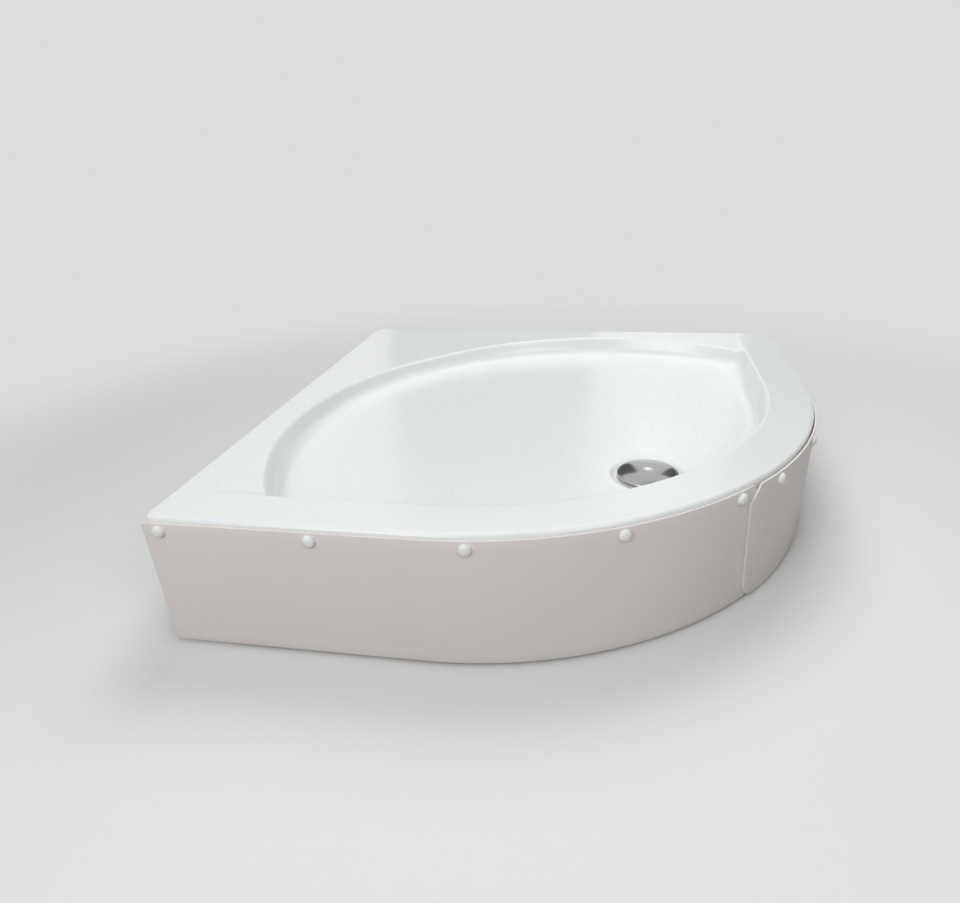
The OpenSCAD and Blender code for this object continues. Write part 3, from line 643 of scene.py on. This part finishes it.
flange_low, flange_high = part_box("waste_flange")[0].z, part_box("waste_flange")[1].z
throat, thread, flange_radius = 0.0223, 0.0305, cover_radius - 0.003
collar_hole, collar_low = 0.0259, flange_low + 0.0025
outer_round, inner_round = 0.0016, 0.0012
ring_size = 128               # points round the ring
flange_profile = ([(throat, flange_low), (thread, flange_low), (thread, recess_z),
                   (flange_radius, recess_z)]
                  + arc((flange_radius - outer_round, recess_z + 0.0009), outer_round, 0, 90, 6)
                  + [(collar_hole + 0.0016, flange_high)]
                  + arc((collar_hole + inner_round, flange_high - inner_round),
                        inner_round, 90, 180, 5)
                  + [(collar_hole, collar_low), (throat + 0.0003, collar_low),
                     (throat, flange_low + 0.0022)])
flange_points, flange_faces = turned(flange_profile, ring_size)
last_ring = len(flange_points) - ring_size
flange_faces += [(last_ring + i, last_ring + (i + 1) % ring_size, (i + 1) % ring_size, i)
                 for i in range(ring_size)]
flange = new_piece("waste_ring", flange_points, flange_faces, 35)
flange.location = drain_at
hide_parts("waste_flange")
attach(flange, "tray")
print("flange:", [round(v, 4) for v in flange.dimensions])

# %% [markdown]
# # Threads
# The feet are M12 rods, and anyone who turns one sees its thread. A thread is a cylinder whose
# radius rises and falls once each pitch and climbs by one pitch each turn, so a grid of rings
# can carry it. Modelled threads catch light on their flanks in a way that bump alone can't.

# %% Threaded rods
rod_pitch, rod_depth = 0.00175, 0.00095


def threaded(radius, depth, pitch, low, high, steps=20, per_turn=6, point=0.001):
    """A threaded rod about Z, from low to high, its ends eased over point metres."""
    levels = np.linspace(low, high, int((high - low) / pitch * per_turn) + 1)
    turns = np.arange(steps) / steps
    around = np.column_stack([np.cos(2 * np.pi * turns), np.sin(2 * np.pi * turns)])
    rows = []
    for level in levels:
        phase = (level / pitch - turns) % 1
        root = depth * np.abs(2 * phase - 1)
        end = np.clip(1 - min(level - low, high - level) / point, 0, 1) * depth * 1.1
        far = radius - np.maximum(root, end)
        rows.append(np.column_stack([far[:, None] * around, np.full(steps, level)]))
    points = [Vector(p) for p in np.concatenate(rows)] + [Vector((0, 0, low)), Vector((0, 0, high))]
    faces = [face[::-1] for face in stitch(len(rows), steps)]
    last = (len(rows) - 1) * steps
    faces += [(len(points) - 2, (i + 1) % steps, i) for i in range(steps)]
    faces += [(len(points) - 1, last + i, last + (i + 1) % steps) for i in range(steps)]
    return points, faces


threaded_rods = []
for i in range(1, 6):
    low_corner, high_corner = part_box(f"foot_rod_{i}")
    rod_radius = (high_corner.x - low_corner.x) / 2
    rod = new_piece(f"threaded_rod_{i}",
                    *threaded(rod_radius, rod_depth, rod_pitch, low_corner.z, high_corner.z), 25)
    rod.location = ((low_corner.x + high_corner.x) / 2, (low_corner.y + high_corner.y) / 2, 0)
    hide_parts(f"foot_rod_{i}")
    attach(rod, f"rod_{i}")
    threaded_rods.append(rod)
print("rods:", len(threaded_rods), "of", len(threaded_rods[0].data.vertices), "points")

# %% [markdown]
# # The frame's screws
# Screws with pan heads and a cross recess hold the frame to the board above it, and longer ones
# reach the corner blocks. The head is a turned dome, and the recess is pressed into it by a
# boolean cut with two crossed bars. No two screws stop at the same turn, so each head stands a
# little further round than the one before.

# %% Places on the frame
frame_top, frame_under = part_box("long_rail")[1].z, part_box("long_rail")[0].z
fork_gap, tube_half, foot_inset = 0.072, (frame_top - frame_under) / 2, 0.058
corner_run = (half - foot_inset) * sqrt(2)
front_run = (arc_middle[0] - arc_middle[1]) / sqrt(2) + front_radius - foot_inset
print("feet at", round(corner_run, 4), "and", round(front_run, 4), "m from the middle")


def on_frame(along, across, height=0.0):
    """A place of the frame, measured along the diagonal towards the front and across it."""
    return Vector((middle[0] + (along + across) / sqrt(2),
                   middle[1] + (across - along) / sqrt(2), height))


# %% Cross-headed screws
head_ball, head_sink, head_turn = 0.0056, 0.0026, 1.03
arm_size, arm_z = (0.0052, 0.0011, 0.0026), -0.0025
shank_radius, shank_depth, shank_pitch = 0.0025, 0.0007, 0.0018
shank_from, shank_point = 0.0001, 0.004
turn_on = 0.7                 # how much further round each head stands


def cross_head():
    """A pan head that hangs below Z = 0, with a cross recess pressed into it."""
    outline = [(head_ball * sin(a), head_sink - head_ball * cos(a))
               for a in np.linspace(0, head_turn, 10)]
    head = new_piece("head", *turned(outline + [(0.0048, -0.0001), (0.0046, 0.0), (0.0, 0.0)], 40))
    cutter = bmesh.new()
    for turn in (0, 90):
        arm = bmesh.ops.create_cube(cutter, size=1)["verts"]
        bmesh.ops.transform(cutter, verts=arm, matrix=Matrix.Rotation(radians(turn), 4, "Z")
                            @ Matrix.Translation((0, 0, arm_z)) @ Matrix.Diagonal((*arm_size, 1)))
    mesh = bpy.data.meshes.new("recess")
    cutter.to_mesh(mesh)
    cutter.free()
    recess = in_scene("recess", mesh)
    cut = head.modifiers.new("recess", "BOOLEAN")
    cut.operation, cut.object, cut.solver, cut.use_self = "DIFFERENCE", recess, "EXACT", True
    made = final_mesh(head)
    result = [v.co.copy() for v in made.vertices], [list(f.vertices) for f in made.polygons]
    for temporary in (head, recess):
        bpy.data.objects.remove(temporary)
    return result


head_points, head_faces = cross_head()
board_screw, block_screw, block_in = 0.034, 0.046, 0.018
screw_places = [((0, y), board_screw) for y in (-0.300, -0.130, 0.130, 0.300)]
screw_places += [((-0.220, 0), board_screw)]
screw_places += [((0.110, y), board_screw) for y in (-fork_gap, fork_gap)]
screw_places += [((0, y), block_screw) for y in (block_in - corner_run, corner_run - block_in)]
screw_places += [((block_in - corner_run, 0), block_screw)]
screw_parts = []
for number, (place, length) in enumerate(screw_places):
    at = (Matrix.Translation(on_frame(*place, frame_under))
          @ Matrix.Rotation(turn_on * number, 4, "Z"))
    shank_points, shank_faces = threaded(shank_radius, shank_depth, shank_pitch, shank_from,
                                         length, 12, 5, shank_point)
    screw_parts.append(([at @ p for p in head_points], head_faces))
    screw_parts.append(([at @ p for p in shank_points], shank_faces))
print("frame screws:", len(screw_places), "head faces:", len(head_faces))

# %% [markdown]
# # Weld beads
# The frame is cut from square tube and welded with a short bead down each side of a joint, and
# with three round each foot's nut. A bead is a row of overlapping puddles, so its radius swells
# and drops again every two millimetres, and it tapers where the arc starts and stops.

# %% Weld beads
puddle_length, bead_step, bead_sides = 0.0021, 0.00045, 12
thin_bead, nut_reach, nut_bead_half = 0.0016, 0.0098, 0.004
from_edge, from_side, below = 0.002, 0.003, 0.0003      # where a bead stops short of an edge


def bead(start, end, radius=0.0022):
    """A bead from start to end: rings that swell and drop again with each puddle."""
    length = (end - start).length
    way = (end - start).normalized()
    side = way.orthogonal().normalized()
    other = way.cross(side)
    steps = int(length / bead_step)
    rows = []
    for j in range(steps + 1):
        share = j / steps
        puddle = (share * length / puddle_length) % 1
        taper = sin(pi * min(1, max(0.02, share * 8), max(0.02, (1 - share) * 8)) / 2)
        far = radius * (0.86 + 0.2 * sqrt(1 - puddle)) * taper
        for a in (2 * pi * i / bead_sides for i in range(bead_sides)):
            rows.append(start + way * (share * length)
                        + side * (far * cos(a)) + other * (far * sin(a)))
    return rows, stitch(steps + 1, bead_sides)


weld_parts = []
tube_joints = [(tube_half, -fork_gap), (tube_half, fork_gap), (-tube_half, 0.0),
               (front_run - tube_half, -fork_gap), (front_run - tube_half, fork_gap)]
for along, across in tube_joints:
    for side in (-1, 1):
        edge = across + side * tube_half
        weld_parts.append(bead(on_frame(along, edge, frame_under + from_edge),
                               on_frame(along, edge, frame_top - from_edge)))
    reach = tube_half - from_side
    weld_parts.append(bead(on_frame(along, across - reach, frame_under),
                           on_frame(along, across + reach, frame_under), thin_bead))
foot_places = [(0, -corner_run), (0, corner_run), (-corner_run, 0), (0, 0), (front_run, 0)]
for along, across in foot_places:
    for turn in map(radians, (90, 210, 330)):
        nut_side = at_turn(turn, nut_reach)
        tangent = Vector((-nut_side.y, nut_side.x, 0)).normalized() * nut_bead_half
        nut_at = on_frame(along, across, frame_under - below)
        weld_parts.append(bead(nut_at + nut_side - tangent, nut_at + nut_side + tangent, thin_bead))
print("weld beads:", len(weld_parts))

# %% [markdown]
# # Glass fibre along the board
# The board is laid into the wet glass fibre and sealed in with a thick line of resin all round
# its edge. Brushed resin is never even, so the line's thickness follows a few sine waves of
# unrelated lengths, which is enough to look hand made and gives the same result each time. The
# line stays thin at its top, or it would come through the shell.

# %% Resin line round the board
board_inset, line_sides = 0.048, 12
line_shift, line_wide, line_high, line_drop = 0.002, 0.0065, 0.0045, 0.0035
waves = ((0.16, 0.0131, 0), (0.12, 0.0307, 1), (0.1, 0.0072, 2))     # size, length, start
board_far = np.minimum(to_front_edge(ways, board_inset),
                       to_circle(ways, bowl_middle, bowl_radius - board_inset))
board_edge = board_far[:, None] * ways
line_run = np.cumsum(np.hypot(*np.diff(board_edge, axis=0, append=board_edge[:1]).T))
lump = 1 + sum(size * np.sin(line_run / length + start) for size, length, start in waves)
line_z = floor_height(board_far) - shell - line_drop
line_points = []
for turn in np.linspace(0, 2 * pi, line_sides, endpoint=False):
    out = board_far + line_shift + line_wide * lump * cos(turn)
    height = line_z + line_high * lump * sin(turn)
    line_points.append(np.column_stack([middle + drain + out[:, None] * ways, height]))
last_side = (line_sides - 1) * count
line_faces = stitch(line_sides, count)
line_faces += [(last_side + i, i, (i + 1) % count, last_side + (i + 1) % count)
               for i in range(count)]
resin_line = new_piece("resin_line", np.concatenate(line_points), line_faces)
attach(resin_line, "tray")
print("resin line:", round(float(line_run[-1]), 3), "m long")

# %% [markdown]
# # How a finish is made
# A material in Blender is a small graph of nodes. Most finishes here are the same idea: the
# Principled shader with its fixed numbers typed straight into its sockets, and a few noise
# patterns that vary the colour, the roughness and the fine relief. The patterns read the
# object's own coordinates, in metres, so their grain has its real size on every piece.

# %% Material helpers
def finish(name, colour, roughness, metallic=0.0, **sockets):
    """A material whose Principled shader has these fixed values."""
    material = bpy.data.materials.new(name)
    material.use_nodes = True
    shader = material.node_tree.nodes["Principled BSDF"]
    values = {"Base Color": (*colour, 1), "Roughness": roughness, "Metallic": metallic, **sockets}
    for socket, value in values.items():
        shader.inputs[socket].default_value = value
    return material


def put(material, kind, inputs=None, **settings):
    """A node of that kind. An input is a number or another node's output."""
    made = material.node_tree.nodes.new(kind)
    for key, value in settings.items():
        setattr(made, key, value)
    for key, value in (inputs or {}).items():
        if isinstance(value, bpy.types.NodeSocket):
            material.node_tree.links.new(value, made.inputs[key])
        else:
            made.inputs[key].default_value = value
    return made


def tie(material, socket, output):
    """Links an output to a socket of the material's Principled shader."""
    shader = material.node_tree.nodes["Principled BSDF"]
    material.node_tree.links.new(output, shader.inputs[socket])


def numbers(material, operation, *inputs):
    """The result of a calculation with numbers."""
    made = put(material, "ShaderNodeMath", dict(enumerate(inputs)), operation=operation)
    return made.outputs["Value"]


def vectors(material, operation, *inputs):
    """The result of a calculation with vectors. A length is a number."""
    made = put(material, "ShaderNodeVectorMath", dict(enumerate(inputs)), operation=operation)
    return made.outputs["Value" if operation == "LENGTH" else "Vector"]


def wear(node, material):
    """Gives a CAD node or a piece this material in all its slots."""
    piece = nodes[node] if isinstance(node, str) else node
    if not piece.data.materials:
        piece.data.materials.append(material)
    for slot in piece.material_slots:
        slot.material = material


# %% Patterns
def place_on(material):
    """Where a point lies on its own object, in metres."""
    return put(material, "ShaderNodeTexCoord").outputs["Object"]


def noise(material, size, detail=2.0, stretch=(1, 1, 1), roughness=0.5):
    """Noise whose grains are about size metres across, drawn out along an axis by stretch."""
    scaled = put(material, "ShaderNodeMapping", {"Vector": place_on(material),
                                                 "Scale": [1 / (size * s) for s in stretch]})
    made = put(material, "ShaderNodeTexNoise", {"Vector": scaled.outputs["Vector"], "Scale": 1.0,
                                                "Detail": detail, "Roughness": roughness})
    return made.outputs["Fac"]


def between(material, factor, low, high, start=0.3, end=0.7):
    """Maps factor, from start to end, onto the numbers or colours from low to high."""
    if not hasattr(low, "__len__"):
        return put(material, "ShaderNodeMapRange",
                   {"Value": factor, "From Min": start, "From Max": end,
                    "To Min": low, "To Max": high}).outputs["Result"]
    ramp = put(material, "ShaderNodeValToRGB", {"Fac": factor})
    for stop, place, colour in zip(ramp.color_ramp.elements, (start, end), (low, high)):
        stop.position = place
        stop.color = (*colour, 1)
    return ramp.outputs["Color"]


def vary(material, socket, factor, low, high, start=0.3, end=0.7):
    """Leads a socket from low to high as factor goes from start to end."""
    tie(material, socket, between(material, factor, low, high, start, end))


def relief(material, *heights):
    """Fine relief: each height is a factor and how many metres high it stands."""
    normal = None
    for factor, height in heights:
        inputs = {"Height": factor, "Distance": height, "Strength": 1.0}
        if normal is not None:
            inputs["Normal"] = normal
        normal = put(material, "ShaderNodeBump", inputs).outputs["Normal"]
    tie(material, "Normal", normal)


# %% [markdown]
# # The shell's two finishes
# The top is gloss acrylic: smooth, with a faint ripple left by the vacuum and a clear depth
# over the white. Its grain is finer than a pixel, since any broader change of tone would show
# as a stain on so plain a surface. Underneath, glass fibre is chopped and sprayed on with
# resin, so it is uneven, a little yellow, and crossed by strands.

# %% Acrylic and glass fibre
acrylic = finish("gloss_acrylic", (0.858, 0.876, 0.872), 0.26,
                 **{"IOR": 1.49, "Coat Weight": 0.35, "Coat Roughness": 0.12})
vary(acrylic, "Base Color", noise(acrylic, 0.0016, 2), (0.850, 0.870, 0.866), (0.866, 0.882, 0.878),
     0.0, 1.0)
vary(acrylic, "Roughness", noise(acrylic, 0.003, 2), 0.24, 0.33, 0.0, 1.0)
relief(acrylic, (noise(acrylic, 0.14, 1), 0.00006), (noise(acrylic, 0.0035, 2), 0.000003))

glass_fibre = finish("glass_fibre_backing", (0.66, 0.64, 0.55), 0.42,
                     **{"Coat Weight": 0.25, "Coat Roughness": 0.25})
strands = put(glass_fibre, "ShaderNodeTexVoronoi", {"Vector": place_on(glass_fibre), "Scale": 90.0},
              feature="DISTANCE_TO_EDGE")
strand_lines = between(glass_fibre, strands.outputs["Distance"], 1.0, 0.0, 0.0, 0.12)
clouds = noise(glass_fibre, 0.03, 6, (1, 1, 1), 0.7)
vary(glass_fibre, "Base Color", clouds, (0.56, 0.54, 0.44), (0.74, 0.73, 0.66))
vary(glass_fibre, "Roughness", noise(glass_fibre, 0.01, 3), 0.3, 0.6)
relief(glass_fibre, (noise(glass_fibre, 0.025, 5), 0.0012), (strand_lines, 0.00025),
       (noise(glass_fibre, 0.0022, 3, (1, 6, 1)), 0.0004))
tray.data.materials.clear()
for material in (acrylic, glass_fibre):
    tray.data.materials.append(material)
wear(resin_line, glass_fibre)
print("tray wears:", [m.name for m in tray.data.materials])

# %% [markdown]
# # The apron's and the caps' finish
# The apron is a thinner extruded sheet, flatter in shine than the shell and a little warmer.
# Extrusion leaves faint lines along it, so its noise is drawn out along one axis. The caps are
# moulded in a softer plastic that lets a little light in, which subsurface scattering gives.

# %% Apron sheet and caps
apron_sheet = finish("satin_sheet", (0.81, 0.762, 0.737), 0.5,
                     **{"IOR": 1.5, "Specular IOR Level": 0.3})
vary(apron_sheet, "Base Color", noise(apron_sheet, 0.16, 3, (1, 1, 3)), (0.795, 0.75, 0.725),
     (0.825, 0.775, 0.75))
vary(apron_sheet, "Roughness", noise(apron_sheet, 0.006, 4, (1, 1, 14)), 0.46, 0.56)
relief(apron_sheet, (noise(apron_sheet, 0.10, 2), 0.0002),
       (noise(apron_sheet, 0.0012, 3, (1, 1, 25)), 0.000008))
for sheet_piece in (long_sheet, short_sheet):
    wear(sheet_piece, apron_sheet)

cap_plastic = finish("moulded_white", (0.87, 0.87, 0.855), 0.3,
                     **{"IOR": 1.46, "Subsurface Weight": 0.05, "Subsurface Scale": 0.004})
vary(cap_plastic, "Roughness", noise(cap_plastic, 0.002, 3), 0.24, 0.38)
relief(cap_plastic, (noise(cap_plastic, 0.0006, 2), 0.000006))
wear(caps, cap_plastic)
wear("cap_washers", cap_plastic)
print("apron and caps:", apron_sheet.name, cap_plastic.name)

# %% [markdown]
# # Spun steel
# The cover is spun and polished, so it mirrors the room, with faint circular marks left in it.
# The ring under it is only turned, and its marks spread each reflection into a fan. Both are
# one recipe: a noise that depends only on the distance from the axis, and an anisotropic shine
# whose direction runs round that axis.

# %% Cover and ring
def spun_steel(name, colour, roughness, spread):
    """Steel with turning marks: circles round the object's own upright axis."""
    steel = finish(name, colour, roughness, 1.0,
                   **{"Anisotropic": spread, "Anisotropic Rotation": 0.25})
    radius = vectors(steel, "LENGTH", vectors(steel, "MULTIPLY", place_on(steel), (1, 1, 0)))
    circles = put(steel, "ShaderNodeTexNoise", {"W": radius, "Scale": 2200.0, "Detail": 4.0,
                                                "Roughness": 0.7}, noise_dimensions="1D")
    marks = circles.outputs["Fac"]
    tangent = put(steel, "ShaderNodeTangent", direction_type="RADIAL", axis="Z")
    tie(steel, "Tangent", tangent.outputs["Tangent"])
    vary(steel, "Base Color", marks, tuple(0.9 * c for c in colour), colour)
    vary(steel, "Roughness", marks, roughness * 0.85, roughness * 1.2)
    relief(steel, (marks, 0.0000015))
    return steel


cover_steel = spun_steel("polished_cover_steel", (0.60, 0.605, 0.59), 0.13, 0.35)
wear(cover, cover_steel)
wear(legs, cover_steel)
wear(flange, spun_steel("turned_ring_steel", (0.55, 0.55, 0.54), 0.3, 0.6))
print("steel:", [m.name for m in bpy.data.materials if m.name.endswith("steel")])

# %% [markdown]
# # Board and wood
# Nobody looks under a shower tray once it stands, and it shows: chipboard with resin brushed
# over it, and raw softwood blocks. The chipboard is cells of flakes, each with a shade of its
# own. The wood is rings round an axis, bent by a slow noise, so a block shows lines along its
# grain and arcs on its ends, as if sawn from a trunk.

# %% Chipboard
chipboard = finish("chipboard", (0.50, 0.38, 0.24), 0.7)
flakes = put(chipboard, "ShaderNodeTexVoronoi", {"Vector": place_on(chipboard), "Scale": 380.0})
shade = put(chipboard, "ShaderNodeSeparateColor", {"Color": flakes.outputs["Color"]}).outputs["Red"]
vary(chipboard, "Base Color", shade, (0.34, 0.235, 0.13), (0.60, 0.47, 0.31), 0.0, 1.0)
vary(chipboard, "Roughness", noise(chipboard, 0.05, 4), 0.35, 0.85, 0.4, 0.6)
relief(chipboard, (shade, 0.0002), (noise(chipboard, 0.0012, 4), 0.00025))
wear("base_board", chipboard)
print("board:", chipboard.name)

# %% Softwood
def softwood(name, along):
    """Spruce or pine with its grain along one axis."""
    wood = finish(name, (0.66, 0.49, 0.30), 0.62)
    warp = noise(wood, 0.03, 3, [8 if axis == along else 1 for axis in range(3)])
    across = [0 if axis == along else 1 for axis in range(3)]
    flat = vectors(wood, "MULTIPLY", place_on(wood), across)
    moved = vectors(wood, "ADD", flat, numbers(wood, "MULTIPLY", warp, 0.02))
    years = put(wood, "ShaderNodeTexWave",
                {"Vector": moved, "Scale": 70.0, "Distortion": 1.5, "Detail": 2.0},
                wave_type="RINGS", rings_direction="SPHERICAL").outputs["Fac"]
    vary(wood, "Base Color", years, (0.70, 0.53, 0.33), (0.52, 0.34, 0.18), 0.25, 0.95)
    fibres = noise(wood, 0.0012, 3, [25 if axis == along else 1 for axis in range(3)])
    relief(wood, (years, 0.00012), (fibres, 0.00015))
    return wood


wear("corner_blocks", softwood("softwood_flat", 0))
wear("rim_blocks", softwood("softwood_upright", 2))
print("wood:", [m.name for m in bpy.data.materials if m.name.startswith("softwood")])

# %% [markdown]
# # Metals of the frame
# The tube has a grey powder coat, which is matt and pebbled like orange peel. The rods, nuts
# and screws are zinc plated: bright, but with a cloudy bloom. The beads are coated with the
# tube, since a frame is painted after it is welded. The screws and the beads were only lists
# of points until now, and become one piece each here, where their finishes exist.

# %% Powder coat and zinc
def gathered(name, parts, material, smooth_under=40):
    """One piece of many small meshes that ride the tray."""
    piece = new_piece(name, *joined(parts), smooth_under)
    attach(piece, "tray")
    wear(piece, material)
    print(name, len(parts), "parts", len(piece.data.polygons), "faces")
    return piece


powder = finish("powder_coat", (0.36, 0.37, 0.38), 0.45,
                **{"Coat Weight": 0.2, "Coat Roughness": 0.3})
vary(powder, "Base Color", noise(powder, 0.05, 3), (0.33, 0.34, 0.35), (0.39, 0.40, 0.41))
vary(powder, "Roughness", noise(powder, 0.004, 3), 0.38, 0.55)
relief(powder, (noise(powder, 0.0012, 3), 0.00012))
for node in ("long_rail", "back_rail", "fork_rail_left", "fork_rail_right", "front_rail",
             "weld_nuts"):
    wear(node, powder)

zinc = finish("zinc_plate", (0.60, 0.61, 0.62), 0.34, 1.0)
bloom = noise(zinc, 0.006, 5, (1, 1, 1), 0.6)
vary(zinc, "Base Color", bloom, (0.50, 0.51, 0.53), (0.68, 0.69, 0.69))
vary(zinc, "Roughness", noise(zinc, 0.003, 4), 0.24, 0.46)
relief(zinc, (noise(zinc, 0.0008, 3), 0.000015))
for piece in ["lock_nuts", "apron_screws"] + threaded_rods:
    wear(piece, zinc)
screws = gathered("cross_head_screws", screw_parts, zinc, 30)
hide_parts("frame_screws")
gathered("weld_beads", weld_parts, powder, 60)

# %% [markdown]
# # Plastics and rubber underneath
# The pads and plugs are black nylon, the trap and its tube white polypropylene, and the seals
# rubber. All are moulded, so all share one recipe, in which only the colour, the shine and the
# grain of the mould's surface differ.

# %% Moulded pieces
def moulded(name, colour, roughness, grain):
    """A moulded plastic with the fine spark texture of its mould."""
    plastic = finish(name, colour, roughness)
    darker, lighter = tuple(0.92 * c for c in colour), tuple(min(1, 1.06 * c) for c in colour)
    vary(plastic, "Base Color", noise(plastic, 0.03, 3), darker, lighter)
    vary(plastic, "Roughness", noise(plastic, grain * 3, 3), roughness - 0.06, roughness + 0.1)
    relief(plastic, (noise(plastic, grain, 3), grain * 0.03))
    return plastic


black = moulded("black_nylon", (0.025, 0.025, 0.027), 0.42, 0.0008)
trap_plastic = moulded("white_polypropylene", (0.74, 0.75, 0.74), 0.36, 0.0012)
rubber = moulded("black_rubber", (0.02, 0.02, 0.021), 0.62, 0.0005)
for material, wearers in ((black, ["tube_plugs"] + [f"foot_pad_{i}" for i in range(1, 6)]),
                          (trap_plastic, ["trap_body", "dip_tube", "outlet_nut"]),
                          (rubber, ["waste_gasket", "dip_seal", "outlet_seal"])):
    for node in wearers:
        wear(node, material)
    print(material.name, "on", len(wearers), "nodes")

# %% [markdown]
# # Light
# A white object needs light that is soft but not even, or its shapes vanish. The lamp behind
# the tray gives the top its brightness, so that the apron, which faces the camera, stays a tone
# darker, as in the photograph. Two lamps in front light the apron, the left one more strongly,
# so the curve darkens towards the right. Their strengths were found by comparing the tones of
# renders with the photograph's. The last lamp is tiny and weak, and only gives the cover its
# glint.

# %% Lamps
tray_middle = (0, 0, 0.1)


def soft_lamp(name, place, target, size, power):
    data = bpy.data.lights.new(name, "AREA")
    data.shape, data.size, data.energy = "DISK", size, power
    lamp = in_scene(name, data)
    lamp.location = place
    lamp.rotation_euler = (Vector(target) - Vector(place)).to_track_quat("-Z", "Y").to_euler()
    return lamp


behind = soft_lamp("behind_the_tray", (0.0, 0.9, 2.0), tray_middle, 1.4, 22.5)
behind.visible_glossy = False          # the cover would mirror it as one white patch
soft_lamp("front_left", (-0.8, -2.1, 1.4), tray_middle, 1.4, 21.5)
soft_lamp("front_right", (1.3, -1.7, 1.6), tray_middle, 1.2, 12.7)
soft_lamp("glint", (0.30, 2.17, 1.29), drain_at, 0.2, 0.15)
print("lamps:", [lamp.name for lamp in bpy.data.lights])

# %% [markdown]
# # The room's own light
# Indoors, light also comes back from the walls. A world of one strength would fill every shadow
# alike, so here it is bright on the left and falls to nothing on the right, with the cool tint
# of daylight. It gives the bowl's walls their different tones.

# %% The room
world = bpy.data.worlds.new("room")
world.use_nodes = True
bpy.context.scene.world = world
room = world.node_tree.nodes["Background"]
room.inputs["Color"].default_value = (0.94, 0.97, 1, 1)
direction = put(world, "ShaderNodeTexCoord").outputs["Generated"]
left_to_right = put(world, "ShaderNodeSeparateXYZ", {"Vector": direction}).outputs["X"]
strength = between(world, left_to_right, 1.29, 0.0, -0.8, 0.8)
world.node_tree.links.new(strength, room.inputs["Strength"])
print("room:", world.name)

# %% [markdown]
# # The floor
# The floor is a wide round sheet whose rim curves up, so every side view has the same plain
# ground behind it. To the camera and to mirrors it is pale, and far off it only glows, which
# keeps it plain. To all other light it is grey and throws little back up, so the apron keeps
# its shade.

# %% Floor
floor_flat, floor_bend, floor_top = 2.2, 1.6, 5.0
floor_profile = [(0.0, 0.0), (floor_flat, 0.0)]
floor_profile += arc((floor_flat, floor_bend), floor_bend, -90, 0, 24)[1:]
floor_profile += [(floor_flat + floor_bend, floor_top)]
floor = new_piece("floor", *turned(floor_profile, 128))
pale = (0.78, 0.78, 0.77)
floor_paint = finish("pale_floor", pale, 0.9)
rays = put(floor_paint, "ShaderNodeLightPath").outputs
seen = numbers(floor_paint, "MAXIMUM", rays["Is Camera Ray"], rays["Is Glossy Ray"])
vary(floor_paint, "Base Color", seen, (0.30, 0.30, 0.295), pale, 0, 1)
distance = vectors(floor_paint, "LENGTH", place_on(floor_paint))
glow_from, glow_full = 0.8, 1.7          # metres from the middle of the floor
far_off = put(floor_paint, "ShaderNodeMapRange",
              {"Value": distance, "From Min": glow_from, "From Max": glow_full},
              interpolation_type="SMOOTHSTEP").outputs["Result"]
glow_share = numbers(floor_paint, "MULTIPLY", far_off, seen)
glow = put(floor_paint, "ShaderNodeEmission", {"Color": (0.72, 0.72, 0.715, 1), "Strength": 1.0})
mixed = put(floor_paint, "ShaderNodeMixShader", {"Fac": glow_share})
graph = floor_paint.node_tree
graph.links.new(graph.nodes["Principled BSDF"].outputs["BSDF"], mixed.inputs[1])
graph.links.new(glow.outputs["Emission"], mixed.inputs[2])
graph.links.new(mixed.outputs["Shader"], graph.nodes["Material Output"].inputs["Surface"])
wear(floor, floor_paint)
print("floor:", [round(v, 2) for v in floor.dimensions])

# %% [markdown]
# # Dark cards
# A polished dome mirrors everything round it, and in an empty pale studio it would look like
# plaster. Two dark cards that only reflections can see stand behind the tray, where the dark
# shapes in the photographed cover say that the room was dark.

# %% Dark cards
card_away, card_low, card_high = 1.6, 0.35, 1.25


def dark_card(name, turn_from, turn_to):
    """An upright dark card behind the tray, between two bearings seen from the drain."""
    bearings = [radians(t) for t in np.linspace(turn_from, turn_to, 9)]
    points = [drain_at + Vector((card_away * sin(t), card_away * cos(t), z))
              for z in (card_low, card_high) for t in bearings]
    card = new_piece(name, points, stitch(2, 9, closed=False))
    wear(card, finish(name, (0.16, 0.16, 0.16), 0.9))
    card.visible_camera = card.visible_shadow = card.visible_diffuse = False
    print(name, "from", turn_from, "to", turn_to, "degrees")


dark_card("dark_card_left", -32, -5)
dark_card("dark_card_right", 14, 40)
